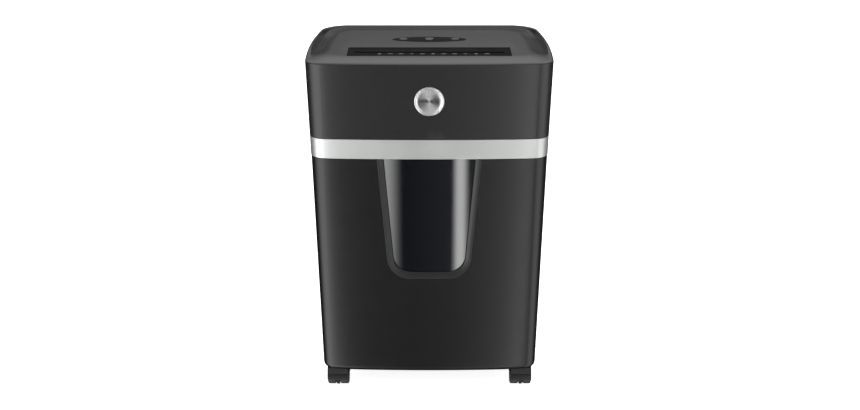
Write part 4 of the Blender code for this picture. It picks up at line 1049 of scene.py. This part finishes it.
def make_world():
    """Dim surroundings with soft boxes, and plain white where the camera looks past the floor."""
    world = bpy.data.worlds.new("studio")
    bpy.context.scene.world = world
    world.use_nodes = True
    nodes = world.node_tree.nodes
    links = world.node_tree.links

    def maths(operation, *values):
        node = nodes.new("ShaderNodeMath")
        node.operation = operation
        for socket, value in zip(node.inputs, values):
            if isinstance(value, (int, float)):
                socket.default_value = value
            else:
                links.new(value, socket)
        return node.outputs[0]

    def ramp(value, low, high, start=0.0, end=1.0):
        node = nodes.new("ShaderNodeMapRange")
        node.interpolation_type = "SMOOTHSTEP"
        for name, number in (("From Min", low), ("From Max", high), ("To Min", start), ("To Max", end)):
            node.inputs[name].default_value = number
        links.new(value, node.inputs["Value"])
        return node.outputs["Result"]

    def between(value, low, rise, high, fall):
        return maths("MULTIPLY", ramp(value, low, low + rise), ramp(value, high, high + fall, 1.0, 0.0))

    split = nodes.new("ShaderNodeSeparateXYZ")
    links.new(nodes.new("ShaderNodeTexCoord").outputs["Generated"], split.inputs[0])
    across, away, up = split.outputs
    turn = maths("MULTIPLY", maths("ARCTAN2", across, maths("MULTIPLY", away, -1.0)), 180 / pi)
    rise = maths("MULTIPLY", maths("ARCSINE", up), 180 / pi)

    level = ramp(turn, -16.0, 14.0, LEFT_SURROUND, SURROUND)
    level = maths("MULTIPLY", ramp(away, -0.2, 0.4, 1.0, REAR_SHARE), level)
    level = maths("ADD", level, ramp(rise, 16.0, 44.0, 0.0, ZENITH))
    wall = maths("MULTIPLY", ramp(away, 0.3, 0.8), between(rise, 9.3, 3.0, 40.0, 30.0))
    level = maths("ADD", level, maths("MULTIPLY", wall, REAR_WALL))
    for (low, soft, high, fade), (bottom, base_soft, top, top_soft), strength in SOFT_BOXES:
        sides = between(turn, low, soft, high, fade)
        ends = between(rise, bottom, base_soft, top, top_soft)
        level = maths("ADD", level, maths("MULTIPLY", maths("MULTIPLY", sides, ends), strength))
    seen = nodes.new("ShaderNodeLightPath").outputs["Is Camera Ray"]
    level = maths("ADD", maths("MULTIPLY", level, maths("SUBTRACT", 1.0, seen)), seen)
    background = nodes["Background"]
    background.inputs["Color"].default_value = (1.0, 1.0, 1.0, 1.0)
    links.new(level, background.inputs["Strength"])


def make_studio():
    make_floor()
    make_world()
    area_light("top", (0, -0.3, 3.2), (0, 0, 0.4), 3.2, 3.2, TOP_POWER)
    area_light("fill", (0, -3.2, 2.2), (0, 0, 0.35), 2.6, 1.4, FILL_POWER)
    area_light("back", (0, 3.4, 2.6), (0, 0, 0.35), 2.6, 1.4, BACK_POWER)
    bpy.context.scene.view_settings.view_transform = "Standard"


make_bin()
make_window_frame()
make_pane()
for caster_name in CASTER_NAMES:
    make_caster(caster_name)
make_head_casing()
make_trim_band()
make_deck()
make_badge()
make_throat()
make_ramp_marks()
make_console()
make_keys()
dress_inner_nodes()
make_studio()
